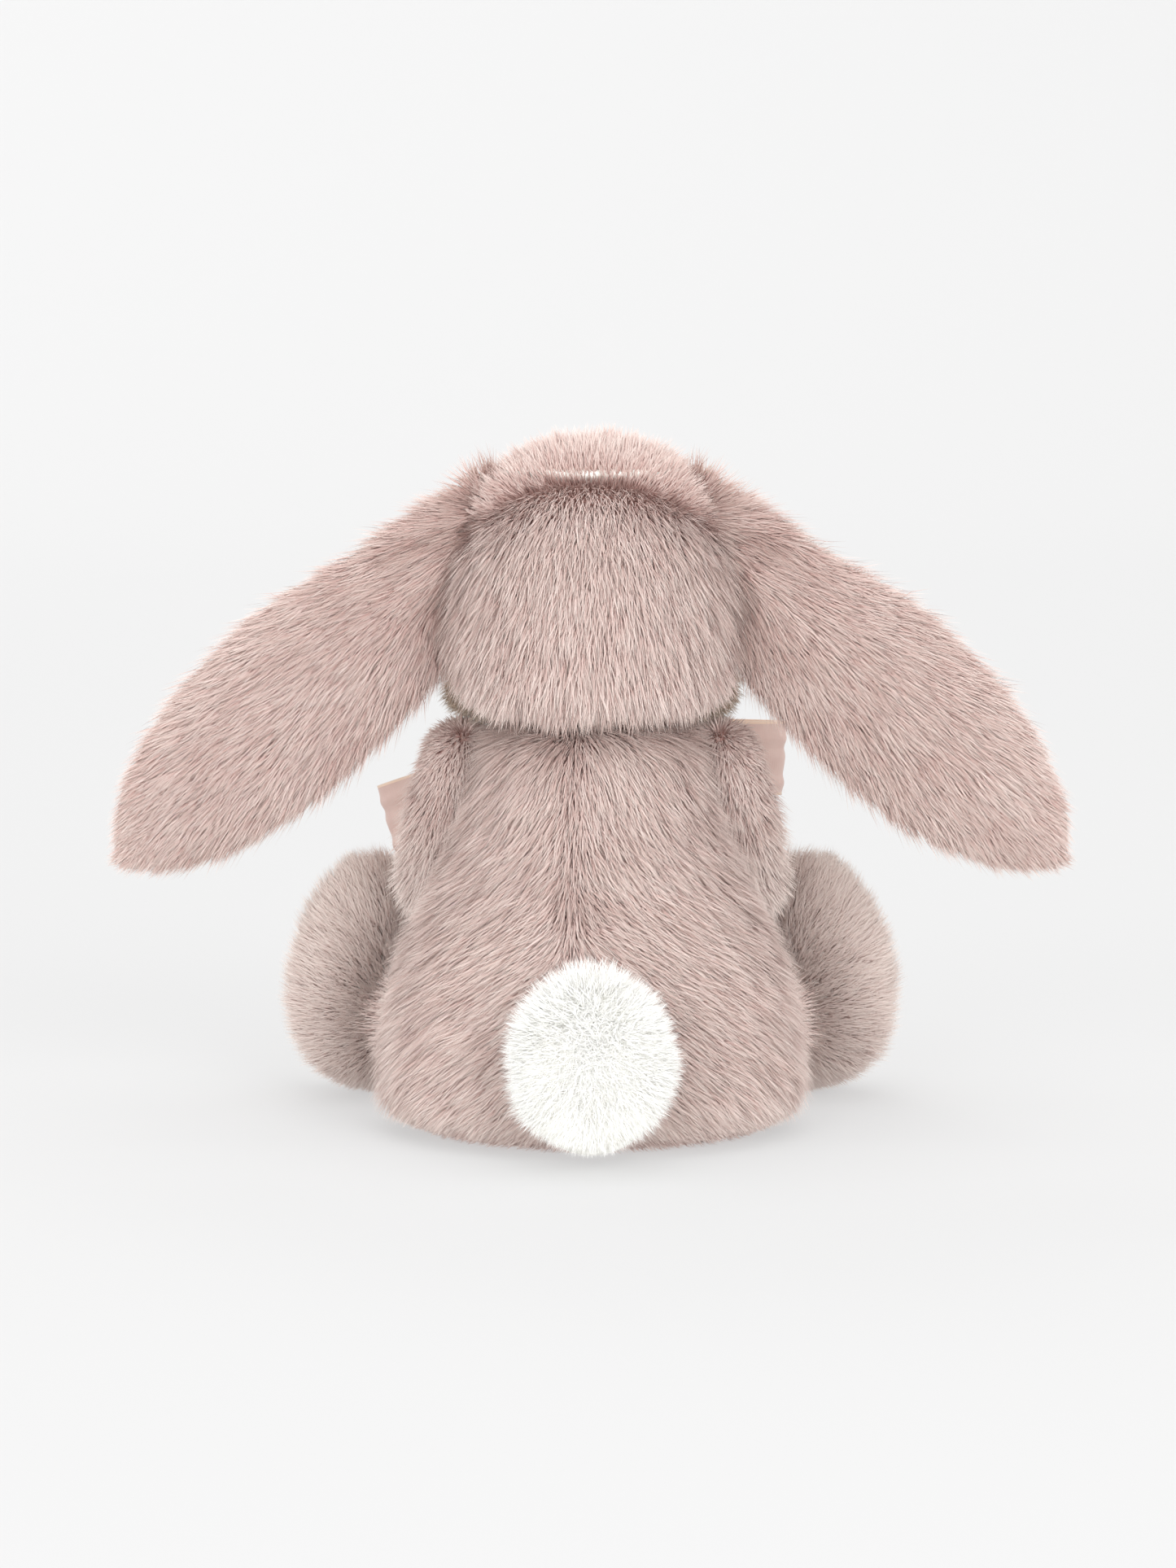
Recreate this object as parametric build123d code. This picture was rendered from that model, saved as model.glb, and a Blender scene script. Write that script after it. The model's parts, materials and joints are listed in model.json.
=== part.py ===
from build123d import *
import os
from math import cos, radians, sin

# Seated lop-eared plush rabbit, millimetres.
# +Z up, the face looks along -Y, +X is the rabbit's own left, the floor is z = 0.

# ---------------------------------------------------------------- driving sizes
COVER_T = 3.0            # plush fabric with its pile pressed flat
GAP = 0.3                # clearance between pieces of one body
LOOSE = 0.9              # ribbon pieces beside each other
STUFFING_FIT = 0.965     # stuffing against the hollow of its cover
JOINT_GAP = 0.5          # clearance between pieces that move against each other

HEAD_R = 29.5            # widest radius of the head
HEAD_H = 62.0            # head height
CHIN_GAP = 4.0           # underside of the head above the torso cover
SEAM_TILT = 52.0         # crown seam plane leans back, degrees
HEAD_PROFILE = ((0.62, 0.04), (0.97, 0.24), (0.97, 0.58), (0.70, 0.89))   # shares of radius and height

MUZZLE_W = 62.0          # cheek to cheek
MUZZLE_H = 30.0
MUZZLE_D = 46.0
MUZZLE_OUT = 9.0         # muzzle stands in front of the head
MUZZLE_LIFT = 14.5       # muzzle centre above the underside of the head
NOSE_W = 9.0
NOSE_H = 6.0
NOSE_T = 3.0
MOUTH_H = 6.0            # height of the stitched mouth
MOUTH_T = 1.2            # thread bundle thickness
EYE_R = 4.2
EYE_FLAT = 0.7           # bead depth, as a share of its width
EYE_STAND = 0.3          # bead centre outside the cover, as a share of its radius
CHEEK_SHARE = 0.97       # head radius at the eyes, as a share of the widest
NOSE_RISE = 0.18         # nose above the muzzle centre, as a share of its height
EYE_X = 14.0
EYE_LIFT = 32.0          # eyes above the underside of the head
SHANK_R = 1.5
SHANK_L = 9.0
WASHER_R = 6.0
WASHER_T = 1.2

EAR_LENGTH = 96.0        # root pivot to tip
EAR_WIDTH = 46.0
EAR_DROOP = 43.0         # below horizontal, degrees
EAR_ROOT_R = 5.0
EAR_TIP_R = 15.0
EAR_BACK_T = 5.5         # fur panel that shows from behind
EAR_LINING_T = 4.0
EAR_LIFT = 37.0          # ear roots above the underside of the head
EAR_Y = 1.0
EAR_BROADEST = 0.48      # where an ear is widest, as a share of its length

NECK_R = 15.0            # collar of the torso cover
NECK_BALL_R = 9.0
NECK_SHAFT_R = 6.5
NECK_DEPTH = 14.0        # how far the neck reaches into the torso
NECK_BALL_RISE = 4.0     # ball centre above the underside of the head

TORSO_H = 86.0
TORSO_R = 43.0           # widest radius of the pear-shaped torso
HIPS_Z = 13.0            # height of the widest part
SEAT_SHARE = 0.86        # flat seat, as a share of the widest radius
SHOULDER_R = 22.0        # torso radius level with the arms
CHEST_DROP = 16.0        # shoulder radius measured below the top of the torso
POUCH_R = 24.0
POUCH_H = 16.0
POUCH_T = 1.0            # inner cloth of the bean pouch
POUCH_ROUND = 4.8        # rounded edge of the pouch

ARM_R = 8.5
ARM_LENGTH = 31.0        # shoulder centre to paw centre
ARM_SUNK = 3.5           # how deep an arm sits in the side of the torso
ARM_FRONT = 18.5         # front of the shoulders, ahead of the middle of the torso
ARM_DROP = 8.0           # shoulders below the top of the torso
ARM_SPLAY = 8.0          # paws stand outwards, degrees
ARM_REACH = 38.0         # forward from hanging straight down, degrees

LEG_R = 13.0
LEG_LENGTH = 24.0        # hip centre to ankle
HIP_ASIDE = 52.0         # hips round from the front, degrees
HIP_OUT = 0.8            # hip centre outside the torso's widest radius
HIP_Z = 19.0
LEG_SPLAY = 33.0         # feet point outwards, degrees
FOOT_W = 42.0
FOOT_D = 34.0
FOOT_H = 52.0
SOLE_T = 2.5
SOLE_R = 14.0

TAIL_W = 38.0
TAIL_D = 33.0
TAIL_H = 44.0
TAIL_LIFT = 0.5          # underside of the tail above the floor

RIBBON_W = 17.0
RIBBON_T = 0.8
BAND_W = 6.0             # ribbon gathered round the neck
KNOT_W = 11.0
KNOT_H = 10.0
KNOT_D = 8.0
KNOT_ROUND = 2.4
LOOP_REACH = 49.0        # knot centre to the end of a loop
LOOP_DEPTH = 7.0         # how far a loop stands open
LOOP_DROOP = {1: 17.0, -1: 6.0}   # left and right loop hang differently, degrees
LOOP_STAND = 1.0         # loops in front of the middle of the knot
LOOP_SWEEP = 27.0        # loops lie forward over the arms, degrees
RIBBON_TAIL_L = 32.0
RIBBON_TAIL_W = 13.6     # folded a little where it leaves the knot
NOTCH_W = 8.5            # side of the square cut out of a ribbon end
TAIL_APART = 8.2         # ribbon tails each side of the middle
TAIL_DROP = 6.0          # ribbon tails below the loops
TAIL_SPREAD = 16.0       # ribbon tails spread sideways, degrees
TAIL_SLOPE = 33.0        # ribbon tails lie on the belly, degrees forward
BOW_DROP = 5.5           # knot below the top of the torso

# ---------------------------------------------------------------- places worked out
HEAD_LIFT = TORSO_H + CHIN_GAP
HEAD_TOP = HEAD_LIFT + HEAD_H
MUZZLE_Y = MUZZLE_D / 2 - HEAD_R - MUZZLE_OUT
MUZZLE_Z = HEAD_LIFT + MUZZLE_LIFT
EYE_Z = HEAD_LIFT + EYE_LIFT
EAR_Z = HEAD_LIFT + EAR_LIFT
CHEST_Z = TORSO_H - CHEST_DROP
ARM_X = SHOULDER_R + ARM_R - ARM_SUNK
ARM_Y = ARM_R - ARM_FRONT
ARM_Z = TORSO_H - ARM_DROP
HIP_X = (TORSO_R + HIP_OUT) * sin(radians(HIP_ASIDE))
HIP_Y = -(TORSO_R + HIP_OUT) * cos(radians(HIP_ASIDE))
TAIL_Z = TAIL_LIFT + TAIL_H / 2
BOW_Z = TORSO_H - BOW_DROP
NECK_TOP_Z = HEAD_LIFT + NECK_BALL_RISE
EAR_X = HEAD_R + EAR_ROOT_R + JOINT_GAP
SEAT_Z = COVER_T
BAND_R = NECK_R + GAP + RIBBON_T
TORSO_BACK_Y = TORSO_R
TAIL_Y = TORSO_BACK_Y + JOINT_GAP + TAIL_D / 2
KNOT_Y = -BAND_R - LOOSE - KNOT_D / 2
BIG = 400.0              # larger than the toy, for cutting halves

parts = {}


def ellipsoid(width, depth, height, centre):
    """A closed ellipsoid with the given full sizes."""
    ball = scale(Sphere(0.5), by=(width, depth, height))
    return Pos(*centre) * ball


def capsule(radius, start, end):
    """A round-ended bar between two points."""
    run = Vector(*end) - Vector(*start)
    bar = Plane(origin=start, z_dir=run) * Cylinder(
        radius, run.length, align=(Align.CENTER, Align.CENTER, Align.MIN))
    return bar + Pos(*start) * Sphere(radius) + Pos(*end) * Sphere(radius)


def half_space(origin, normal):
    """A big block on the side of a plane that the normal points to."""
    return Plane(origin=origin, z_dir=normal) * Box(
        BIG, BIG, BIG, align=(Align.CENTER, Align.CENTER, Align.MIN))


def shrunk(form, height):
    """The filling of a hollow form, loose all round, shrunk about a point on the Z axis."""
    return Pos(0, 0, height * (1 - STUFFING_FIT)) * scale(form, by=STUFFING_FIT)


def head_form(inset):
    """Head as a turned egg, flat under the chin, shrunk by the inset."""
    radius = HEAD_R - inset
    low = HEAD_LIFT + inset
    high = HEAD_TOP - inset
    rise = high - low
    profile = Spline(
        (0, low),
        *[(radius * out, low + rise * up) for out, up in HEAD_PROFILE],
        (0, high),
        tangents=((1, 0), (-1, 0)))
    outline = make_face(profile + Line((0, high), (0, low)))
    return revolve(Plane.XZ * outline, Axis.Z, 360)


def torso_form(inset):
    """Pear with a flat seat and a round collar, shrunk by the inset."""
    seat = TORSO_R - inset
    low = inset
    high = TORSO_H - inset
    collar = NECK_R - inset
    profile = Spline(
        (seat * SEAT_SHARE, low),
        (seat, HIPS_Z),
        (SHOULDER_R - inset, CHEST_Z),
        (collar, high - BAND_W),
        tangents=((1, 0.8), (0, 1), (-0.4, 1), (-0.2, 1)))
    outline = make_face(
        profile
        + Line((collar, high - BAND_W), (collar, high))
        + Line((collar, high), (0, high))
        + Line((0, high), (0, low))
        + Line((0, low), (seat * SEAT_SHARE, low)))
    return revolve(Plane.XZ * outline, Axis.Z, 360)


def shoulder(side):
    """Centre of a shoulder."""
    return (side * ARM_X, ARM_Y, ARM_Z)


def paw(side):
    """Centre of a paw."""
    down = ARM_LENGTH * cos(radians(ARM_REACH))
    forward = ARM_LENGTH * sin(radians(ARM_REACH))
    out = ARM_LENGTH * sin(radians(ARM_SPLAY))
    return (side * (ARM_X + out), ARM_Y - forward, ARM_Z - down)


def hip(side):
    """Centre of a hip."""
    return (side * HIP_X, HIP_Y, HIP_Z)


def ankle(side):
    """End of the leg where the foot is sewn on."""
    out = LEG_LENGTH * sin(radians(LEG_SPLAY))
    forward = LEG_LENGTH * cos(radians(LEG_SPLAY))
    return (side * (HIP_X + out), HIP_Y - forward, FOOT_H / 2)


def foot_frame(side):
    """Plane in the middle of a foot, its Z axis pointing out of the sole."""
    toes = (side * sin(radians(LEG_SPLAY)), -cos(radians(LEG_SPLAY)), 0)
    return Plane(origin=ankle(side), x_dir=(cos(radians(LEG_SPLAY)), side * sin(radians(LEG_SPLAY)), 0),
                 z_dir=toes)


def joint_pockets():
    """Room in the torso for the neck, the shoulders and the hips."""
    pockets = Pos(0, 0, TORSO_H - NECK_DEPTH) * Cylinder(
        NECK_SHAFT_R + JOINT_GAP, NECK_DEPTH + BAND_W, align=(Align.CENTER, Align.CENTER, Align.MIN))
    for side in (1, -1):
        pockets += Pos(*shoulder(side)) * Sphere(ARM_R + JOINT_GAP)
        pockets += Pos(*hip(side)) * Sphere(LEG_R + JOINT_GAP)
    return pockets


def make_torso():
    """Sewn panels of the torso, its filling and the bean pouch."""
    pockets = joint_pockets()
    outer = torso_form(0)
    inner = torso_form(COVER_T)
    cover = outer - inner - pockets
    seat = cover & Box(BIG, BIG, COVER_T, align=(Align.CENTER, Align.CENTER, Align.MIN))
    walls = cover & half_space((0, 0, COVER_T), (0, 0, 1))
    back = walls & half_space((0, GAP / 2, 0), (0, 1, 0))
    parts["seat_panel"] = seat
    parts["belly_panel"] = walls & half_space((0, -GAP / 2, 0), (0, -1, 0))
    parts["back_panel_left"] = back & half_space((GAP / 2, 0, 0), (1, 0, 0))
    parts["back_panel_right"] = back & half_space((-GAP / 2, 0, 0), (-1, 0, 0))

    pouch_z = SEAT_Z + GAP
    pouch = Pos(0, 0, pouch_z) * Cylinder(
        POUCH_R, POUCH_H, align=(Align.CENTER, Align.CENTER, Align.MIN))
    pouch = fillet(pouch.edges().filter_by(GeomType.CIRCLE), POUCH_ROUND)
    beans = Pos(0, 0, pouch_z + POUCH_T) * Cylinder(
        POUCH_R - POUCH_T, POUCH_H - 2 * POUCH_T, align=(Align.CENTER, Align.CENTER, Align.MIN))
    beans = fillet(beans.edges().filter_by(GeomType.CIRCLE), POUCH_ROUND - POUCH_T)
    pouch_room = Cylinder(
        POUCH_R + GAP, pouch_z + POUCH_H + GAP, align=(Align.CENTER, Align.CENTER, Align.MIN))
    parts["bean_pouch"] = pouch - beans
    parts["plastic_beans"] = beans
    parts["torso_stuffing"] = shrunk(torso_form(COVER_T), TORSO_H / 2) - pockets - pouch_room


def make_neck():
    """Firm stuffed neck: a ball in the head on a stalk in the torso."""
    stalk_foot = TORSO_H - NECK_DEPTH + JOINT_GAP
    stalk = Pos(0, 0, stalk_foot) * Cylinder(
        NECK_SHAFT_R, NECK_TOP_Z - stalk_foot, align=(Align.CENTER, Align.CENTER, Align.MIN))
    parts["neck_stuffing"] = stalk + Pos(0, 0, NECK_TOP_Z) * Sphere(NECK_BALL_R)


def eye_place(side):
    """Point on the face where an eye sits."""
    reach = (HEAD_R * CHEEK_SHARE) ** 2 - EYE_X ** 2
    return (side * EYE_X, -reach ** 0.5, EYE_Z)


def make_head():
    """Head panels, muzzle, stuffing and the face."""
    neck_pocket = Pos(0, 0, NECK_TOP_Z) * Sphere(NECK_BALL_R + JOINT_GAP)
    outer = head_form(0)
    cover = outer - head_form(COVER_T) - neck_pocket
    stuffing = shrunk(head_form(COVER_T), HEAD_LIFT + HEAD_H / 2) - neck_pocket

    tilt = radians(SEAM_TILT)
    seam_up = (0, -cos(tilt), sin(tilt))
    for side in (1, -1):
        place = eye_place(side)
        inward = (-side * EYE_X, HEAD_R, 0)
        axis = Plane(origin=place, z_dir=inward)
        shank = axis * Cylinder(SHANK_R, SHANK_L, align=(Align.CENTER, Align.CENTER, Align.MIN))
        bead = axis * (Pos(0, 0, -EYE_R * EYE_STAND) * scale(Sphere(EYE_R), by=(1, 1, EYE_FLAT)))
        washer_at = COVER_T + WASHER_R ** 2 / (2 * HEAD_R) + 2 * GAP
        washer = axis * (Pos(0, 0, washer_at) * Cylinder(
            WASHER_R, WASHER_T, align=(Align.CENTER, Align.CENTER, Align.MIN)))
        seat = axis * Cylinder(EYE_R + GAP, EYE_R, align=(Align.CENTER, Align.CENTER, Align.MAX))
        bowl = axis * (Pos(0, 0, -EYE_R * EYE_STAND) * scale(Sphere(EYE_R + GAP), by=(1, 1, EYE_FLAT)))
        near = axis * Cylinder(SHANK_R + GAP, 2 * SHANK_L, align=(Align.CENTER, Align.CENTER, Align.CENTER))
        washer_room = axis * (Pos(0, 0, -GAP) * Cylinder(
            WASHER_R + GAP, washer_at + WASHER_T + 2 * GAP, align=(Align.CENTER, Align.CENTER, Align.MIN)))
        name = "left" if side == 1 else "right"
        parts["eye_" + name] = bead + shank
        parts["eye_washer_" + name] = washer - near
        cover = cover - bowl - near - seat
        stuffing = stuffing - near - washer_room

    parts["head_face_panel"] = cover & half_space((0, -GAP / 2, EAR_Z), seam_up)
    parts["head_back_panel"] = cover & half_space(
        (0, GAP / 2, EAR_Z), (0, cos(tilt), -sin(tilt)))
    parts["head_stuffing"] = stuffing

    muzzle = ellipsoid(MUZZLE_W, MUZZLE_D, MUZZLE_H, (0, MUZZLE_Y, MUZZLE_Z))
    muzzle = muzzle - head_form(-GAP)
    muzzle = muzzle & half_space((0, 0, 0), (0, -1, 0))
    muzzle_front = MUZZLE_Y - MUZZLE_D / 2
    nose_z = MUZZLE_Z + MUZZLE_H * NOSE_RISE
    nose = ellipsoid(NOSE_W, 2 * NOSE_T, NOSE_H, (0, muzzle_front, nose_z))
    mouth_top = nose_z - NOSE_H / 2 - MOUTH_T
    mouth = capsule(MOUTH_T / 2, (0, muzzle_front, mouth_top), (0, muzzle_front + MOUTH_T, mouth_top - MOUTH_H))
    parts["nose"] = nose
    parts["mouth_stitch"] = mouth
    nose_room = ellipsoid(NOSE_W + 2 * GAP, 2 * (NOSE_T + GAP), NOSE_H + 2 * GAP, (0, muzzle_front, nose_z))
    parts["muzzle_panel"] = muzzle - nose_room - mouth


def make_ears():
    """Two lop ears, each a fur back and a lining sewn together at the edge."""
    belly = EAR_WIDTH / 2
    tip_at = EAR_LENGTH - EAR_TIP_R
    for side in (1, -1):
        name = "left" if side == 1 else "right"
        rings = []
        for along, radius in ((0, EAR_ROOT_R), (EAR_LENGTH * EAR_BROADEST, belly), (tip_at, EAR_TIP_R)):
            rings.append(Pos(along, 0) * circle_edge(radius))
        outline = make_face(make_hull(rings))
        frame = Plane(origin=(side * EAR_X, EAR_Y, EAR_Z),
                      x_dir=(side * cos(radians(EAR_DROOP)), 0, -sin(radians(EAR_DROOP))),
                      z_dir=(0, 1, 0))
        placed = frame * outline
        parts["ear_back_" + name] = extrude(placed, EAR_BACK_T, dir=(0, 1, 0))
        lining = extrude(placed, EAR_LINING_T, dir=(0, -1, 0))
        parts["ear_lining_" + name] = Pos(0, -GAP, 0) * lining


def circle_edge(radius):
    """A full circle as one edge."""
    return Edge.make_circle(radius)


def make_arms():
    """Arms as an outer panel, an inner panel and their stuffing."""
    for side in (1, -1):
        name = "left" if side == 1 else "right"
        start = shoulder(side)
        end = paw(side)
        cover = capsule(ARM_R, start, end) - capsule(ARM_R - COVER_T, start, end)
        parts["arm_outer_panel_" + name] = cover & half_space(start, (side, 0, 0))
        parts["arm_inner_panel_" + name] = cover & half_space(
            (start[0] - side * GAP, start[1], start[2]), (-side, 0, 0))
        parts["arm_stuffing_" + name] = capsule(ARM_R - COVER_T - GAP, start, end)


def make_legs():
    """Legs with their feet, soles and stuffing."""
    for side in (1, -1):
        name = "left" if side == 1 else "right"
        start = hip(side)
        end = ankle(side)
        frame = foot_frame(side)
        foot = frame * scale(Sphere(0.5), by=(FOOT_W, FOOT_H, FOOT_D))
        foot_core = frame * scale(Sphere(0.5), by=(
            FOOT_W - 2 * COVER_T, FOOT_H - 2 * COVER_T, FOOT_D - 2 * COVER_T))
        stuffing_core = frame * scale(Sphere(0.5), by=(
            FOOT_W - 2 * COVER_T - 2 * GAP, FOOT_H - 2 * COVER_T - 2 * GAP, FOOT_D - 2 * COVER_T - 2 * GAP))
        sole_at = FOOT_D / 2 - SOLE_T
        sole_cut = frame * (Pos(0, 0, sole_at) * Box(
            BIG, BIG, BIG, align=(Align.CENTER, Align.CENTER, Align.MIN)))
        thigh = capsule(LEG_R, start, end)
        hollow = capsule(LEG_R - COVER_T, start, end) + foot_core
        whole = foot + thigh
        cover = whole - hollow - sole_cut
        sole = frame * (Pos(0, 0, sole_at + GAP) * Cylinder(
            SOLE_R, SOLE_T, align=(Align.CENTER, Align.CENTER, Align.MIN)))
        parts["leg_cover_" + name] = cover
        parts["sole_panel_" + name] = sole
        stuffing = capsule(LEG_R - COVER_T - GAP, start, end) + stuffing_core
        parts["leg_stuffing_" + name] = stuffing - sole_cut


def make_tail():
    """Pompom tail: a furry cover over a ball of stuffing."""
    centre = (0, TAIL_Y, TAIL_Z)
    outer = ellipsoid(TAIL_W, TAIL_D, TAIL_H, centre)
    inner = ellipsoid(TAIL_W - 2 * COVER_T, TAIL_D - 2 * COVER_T, TAIL_H - 2 * COVER_T, centre)
    core = ellipsoid(TAIL_W - 2 * COVER_T - 2 * GAP, TAIL_D - 2 * COVER_T - 2 * GAP,
                     TAIL_H - 2 * COVER_T - 2 * GAP, centre)
    parts["tail_pompom"] = outer - inner
    parts["tail_stuffing"] = core


def ribbon_loop(side):
    """One loop of the bow: a flat band bent into a long narrow eye."""
    start = side * (KNOT_W / 2 + LOOSE)
    reach = LOOP_REACH - KNOT_W / 2
    outer = Pos(start + side * reach / 2, 0) * SlotOverall(reach, LOOP_DEPTH)
    inner = Pos(start + side * reach / 2, 0) * SlotOverall(
        reach - 2 * RIBBON_T, LOOP_DEPTH - 2 * RIBBON_T)
    band = extrude(outer - inner, RIBBON_W / 2, both=True)
    turned = Rot(0, 0, -side * LOOP_SWEEP) * (Rot(0, side * LOOP_DROOP[side], 0) * band)
    return Pos(0, KNOT_Y - LOOP_STAND, BOW_Z) * turned


def ribbon_tail(side):
    """One hanging end of the bow."""
    strip = Box(RIBBON_TAIL_W, RIBBON_T, RIBBON_TAIL_L, align=(Align.CENTER, Align.CENTER, Align.MAX))
    notch = Pos(0, 0, -RIBBON_TAIL_L) * (Rot(0, 45, 0) * Box(NOTCH_W, BIG, NOTCH_W))
    turned = Rot(-TAIL_SLOPE, 0, 0) * (Rot(0, -side * TAIL_SPREAD, 0) * (strip - notch))
    return Pos(side * TAIL_APART, KNOT_Y - KNOT_D / 2, BOW_Z - RIBBON_W / 2 - TAIL_DROP) * turned


def make_ribbon():
    """Satin ribbon: the band round the neck and the bow in front."""
    ring = Cylinder(BAND_R, BAND_W) - Cylinder(BAND_R - RIBBON_T, 2 * BAND_W)
    parts["ribbon_band"] = Pos(0, 0, TORSO_H - BAND_W / 2 - GAP) * ring
    knot = Pos(0, KNOT_Y, BOW_Z) * Box(KNOT_W, KNOT_D, KNOT_H)
    parts["bow_knot"] = fillet(knot.edges(), KNOT_ROUND)
    for side in (1, -1):
        name = "left" if side == 1 else "right"
        parts["bow_loop_" + name] = ribbon_loop(side)
        parts["ribbon_tail_" + name] = ribbon_tail(side)


make_torso()
make_neck()
make_head()
make_ears()
make_arms()
make_legs()
make_tail()
make_ribbon()

os.makedirs("parts", exist_ok=True)
for node, shape in parts.items():
    shape.label = node
    export_step(shape, "parts/" + node + ".step")
    print(node, len(shape.solids()), round(shape.volume, 1))
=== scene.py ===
import json
import logging
import math
from dataclasses import dataclass, field
from enum import Enum
from typing import Any, Callable, Sequence

import bpy
import numpy as np
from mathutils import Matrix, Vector


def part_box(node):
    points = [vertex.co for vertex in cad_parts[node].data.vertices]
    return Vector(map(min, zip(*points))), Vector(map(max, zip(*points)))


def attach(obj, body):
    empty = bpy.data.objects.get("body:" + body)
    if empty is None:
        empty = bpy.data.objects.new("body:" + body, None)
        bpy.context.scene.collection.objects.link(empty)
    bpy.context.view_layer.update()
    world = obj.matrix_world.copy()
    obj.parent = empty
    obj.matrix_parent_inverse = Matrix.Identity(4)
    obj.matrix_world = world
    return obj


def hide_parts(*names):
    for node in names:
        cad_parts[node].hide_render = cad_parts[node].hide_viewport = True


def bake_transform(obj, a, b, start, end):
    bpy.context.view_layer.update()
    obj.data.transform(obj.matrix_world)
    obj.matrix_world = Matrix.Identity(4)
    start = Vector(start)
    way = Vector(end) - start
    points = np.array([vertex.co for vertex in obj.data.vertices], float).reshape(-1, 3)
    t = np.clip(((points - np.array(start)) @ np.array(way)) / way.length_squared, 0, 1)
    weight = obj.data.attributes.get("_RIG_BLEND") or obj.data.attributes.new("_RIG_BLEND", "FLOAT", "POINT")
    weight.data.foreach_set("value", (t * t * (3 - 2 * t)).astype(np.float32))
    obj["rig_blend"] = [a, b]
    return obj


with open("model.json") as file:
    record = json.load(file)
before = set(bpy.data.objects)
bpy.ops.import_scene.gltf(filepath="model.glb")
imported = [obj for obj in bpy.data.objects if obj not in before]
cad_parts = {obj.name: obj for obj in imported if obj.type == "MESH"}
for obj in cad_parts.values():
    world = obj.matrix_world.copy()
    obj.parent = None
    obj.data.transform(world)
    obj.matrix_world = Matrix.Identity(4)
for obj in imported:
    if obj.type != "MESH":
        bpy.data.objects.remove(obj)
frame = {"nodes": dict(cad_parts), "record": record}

log = logging.getLogger("rabbit")

MM = 0.001
SIDES = {"left": 1.0, "right": -1.0}
COMB = "comb"            # skin attribute: way the pile lies, its length says how flat
PILE = "pile"            # skin attribute: pile length, as a share of the coat's length
COVER = "cover"          # skin attribute: share of the blades that grow here
OUTWARD = "outward"      # skin attribute: smooth direction out of the skin
PAINTED_LIGHT_AND_TONE = "shade"          # skin attribute: paler or darker fur, 0 to 1; random tone, painted shade at the seams and the ear root, painted light on the feet
FUR_UV = "OFBake"        # fur's own map: across = tint, up = root to tip
CLOTH_UV = "Weave"       # ribbon's own map, in widths and lengths

Colour = tuple[float, float, float]
Array = np.ndarray
Body = str | tuple[str, str, Array, Array]


# ------------------------------------------------------------------ small helpers


def linear(red: int, green: int, blue: int) -> Colour:
    """Turn an everyday 0-255 colour into the linear values that shaders use."""
    def one(value: float) -> float:
        """One channel."""
        share = value / 255.0
        return share / 12.92 if share <= 0.04045 else ((share + 0.055) / 1.055) ** 2.4
    return one(red), one(green), one(blue)


def unit(vectors: Array) -> Array:
    """Vectors of length one, with nothing done to zero ones."""
    size = np.linalg.norm(vectors, axis=-1, keepdims=True)
    return vectors / np.maximum(size, 1e-9)


def ease(low: float, high: float, value: Array) -> Array:
    """Smooth step from 0 at low to 1 at high."""
    share = np.clip((value - low) / (high - low), 0.0, 1.0)
    return share * share * (3.0 - 2.0 * share)


def through(points: Sequence[Sequence[float]], count: int) -> Array:
    """A smooth curve through a few points.

    Args:
        points: The points, of any dimension.
        count: How many samples the curve gets.

    Returns:
        The samples, one row each.
    """
    knots = np.array(points, float)
    last = len(knots) - 1
    before = np.vstack([2 * knots[0] - knots[1], knots, 2 * knots[-1] - knots[-2]])
    where = np.linspace(0, last, count)
    cell = np.minimum(where.astype(int), last - 1)
    share = (where - cell)[:, None]
    p0, p1, p2, p3 = (before[cell + k] for k in range(4))
    return 0.5 * (2 * p1 + (p2 - p0) * share + (2 * p0 - 5 * p1 + 4 * p2 - p3) * share ** 2
                  + (3 * p1 - p0 - 3 * p2 + p3) * share ** 3)


def wobble(where: Array, size: float, seed: float) -> Array:
    """Soft unevenness of handmade cloth, about -1 to 1.

    Args:
        where: Points in metres.
        size: Distance from one swell to the next.
        seed: Shifts the pattern, so that pieces differ.

    Returns:
        One value for each point.
    """
    turn = where * (2 * math.pi / size)
    x, y, z = turn[:, 0] + seed, turn[:, 1] + 1.7 * seed, turn[:, 2] - 0.6 * seed
    return (np.sin(x + 0.6 * np.sin(y)) + np.sin(1.3 * y + np.cos(z)) + np.sin(0.9 * z + 0.8 * x)) / 3


@dataclass(frozen=True)
class Box:
    """The space that one or more CAD nodes take up."""

    low: Array
    high: Array

    @classmethod
    def of(cls, *nodes: str) -> "Box":
        """The box round the named nodes."""
        ends = [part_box(node) for node in nodes]
        low = np.min([np.array(end[0]) for end in ends], axis=0)
        high = np.max([np.array(end[1]) for end in ends], axis=0)
        return cls(low, high)

    @property
    def middle(self) -> Array:
        """Centre of the box."""
        return (self.low + self.high) / 2

    @property
    def size(self) -> Array:
        """Full lengths of the box."""
        return self.high - self.low


def pivot(joint: str) -> Array:
    """Place of a joint, in metres."""
    for entry in frame["record"]["behaviour"]["joints"]:
        if entry["name"] == joint:
            return np.array(entry["pos_m"], float)
    raise KeyError(joint)


# ------------------------------------------------------------------ shader writing


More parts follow.
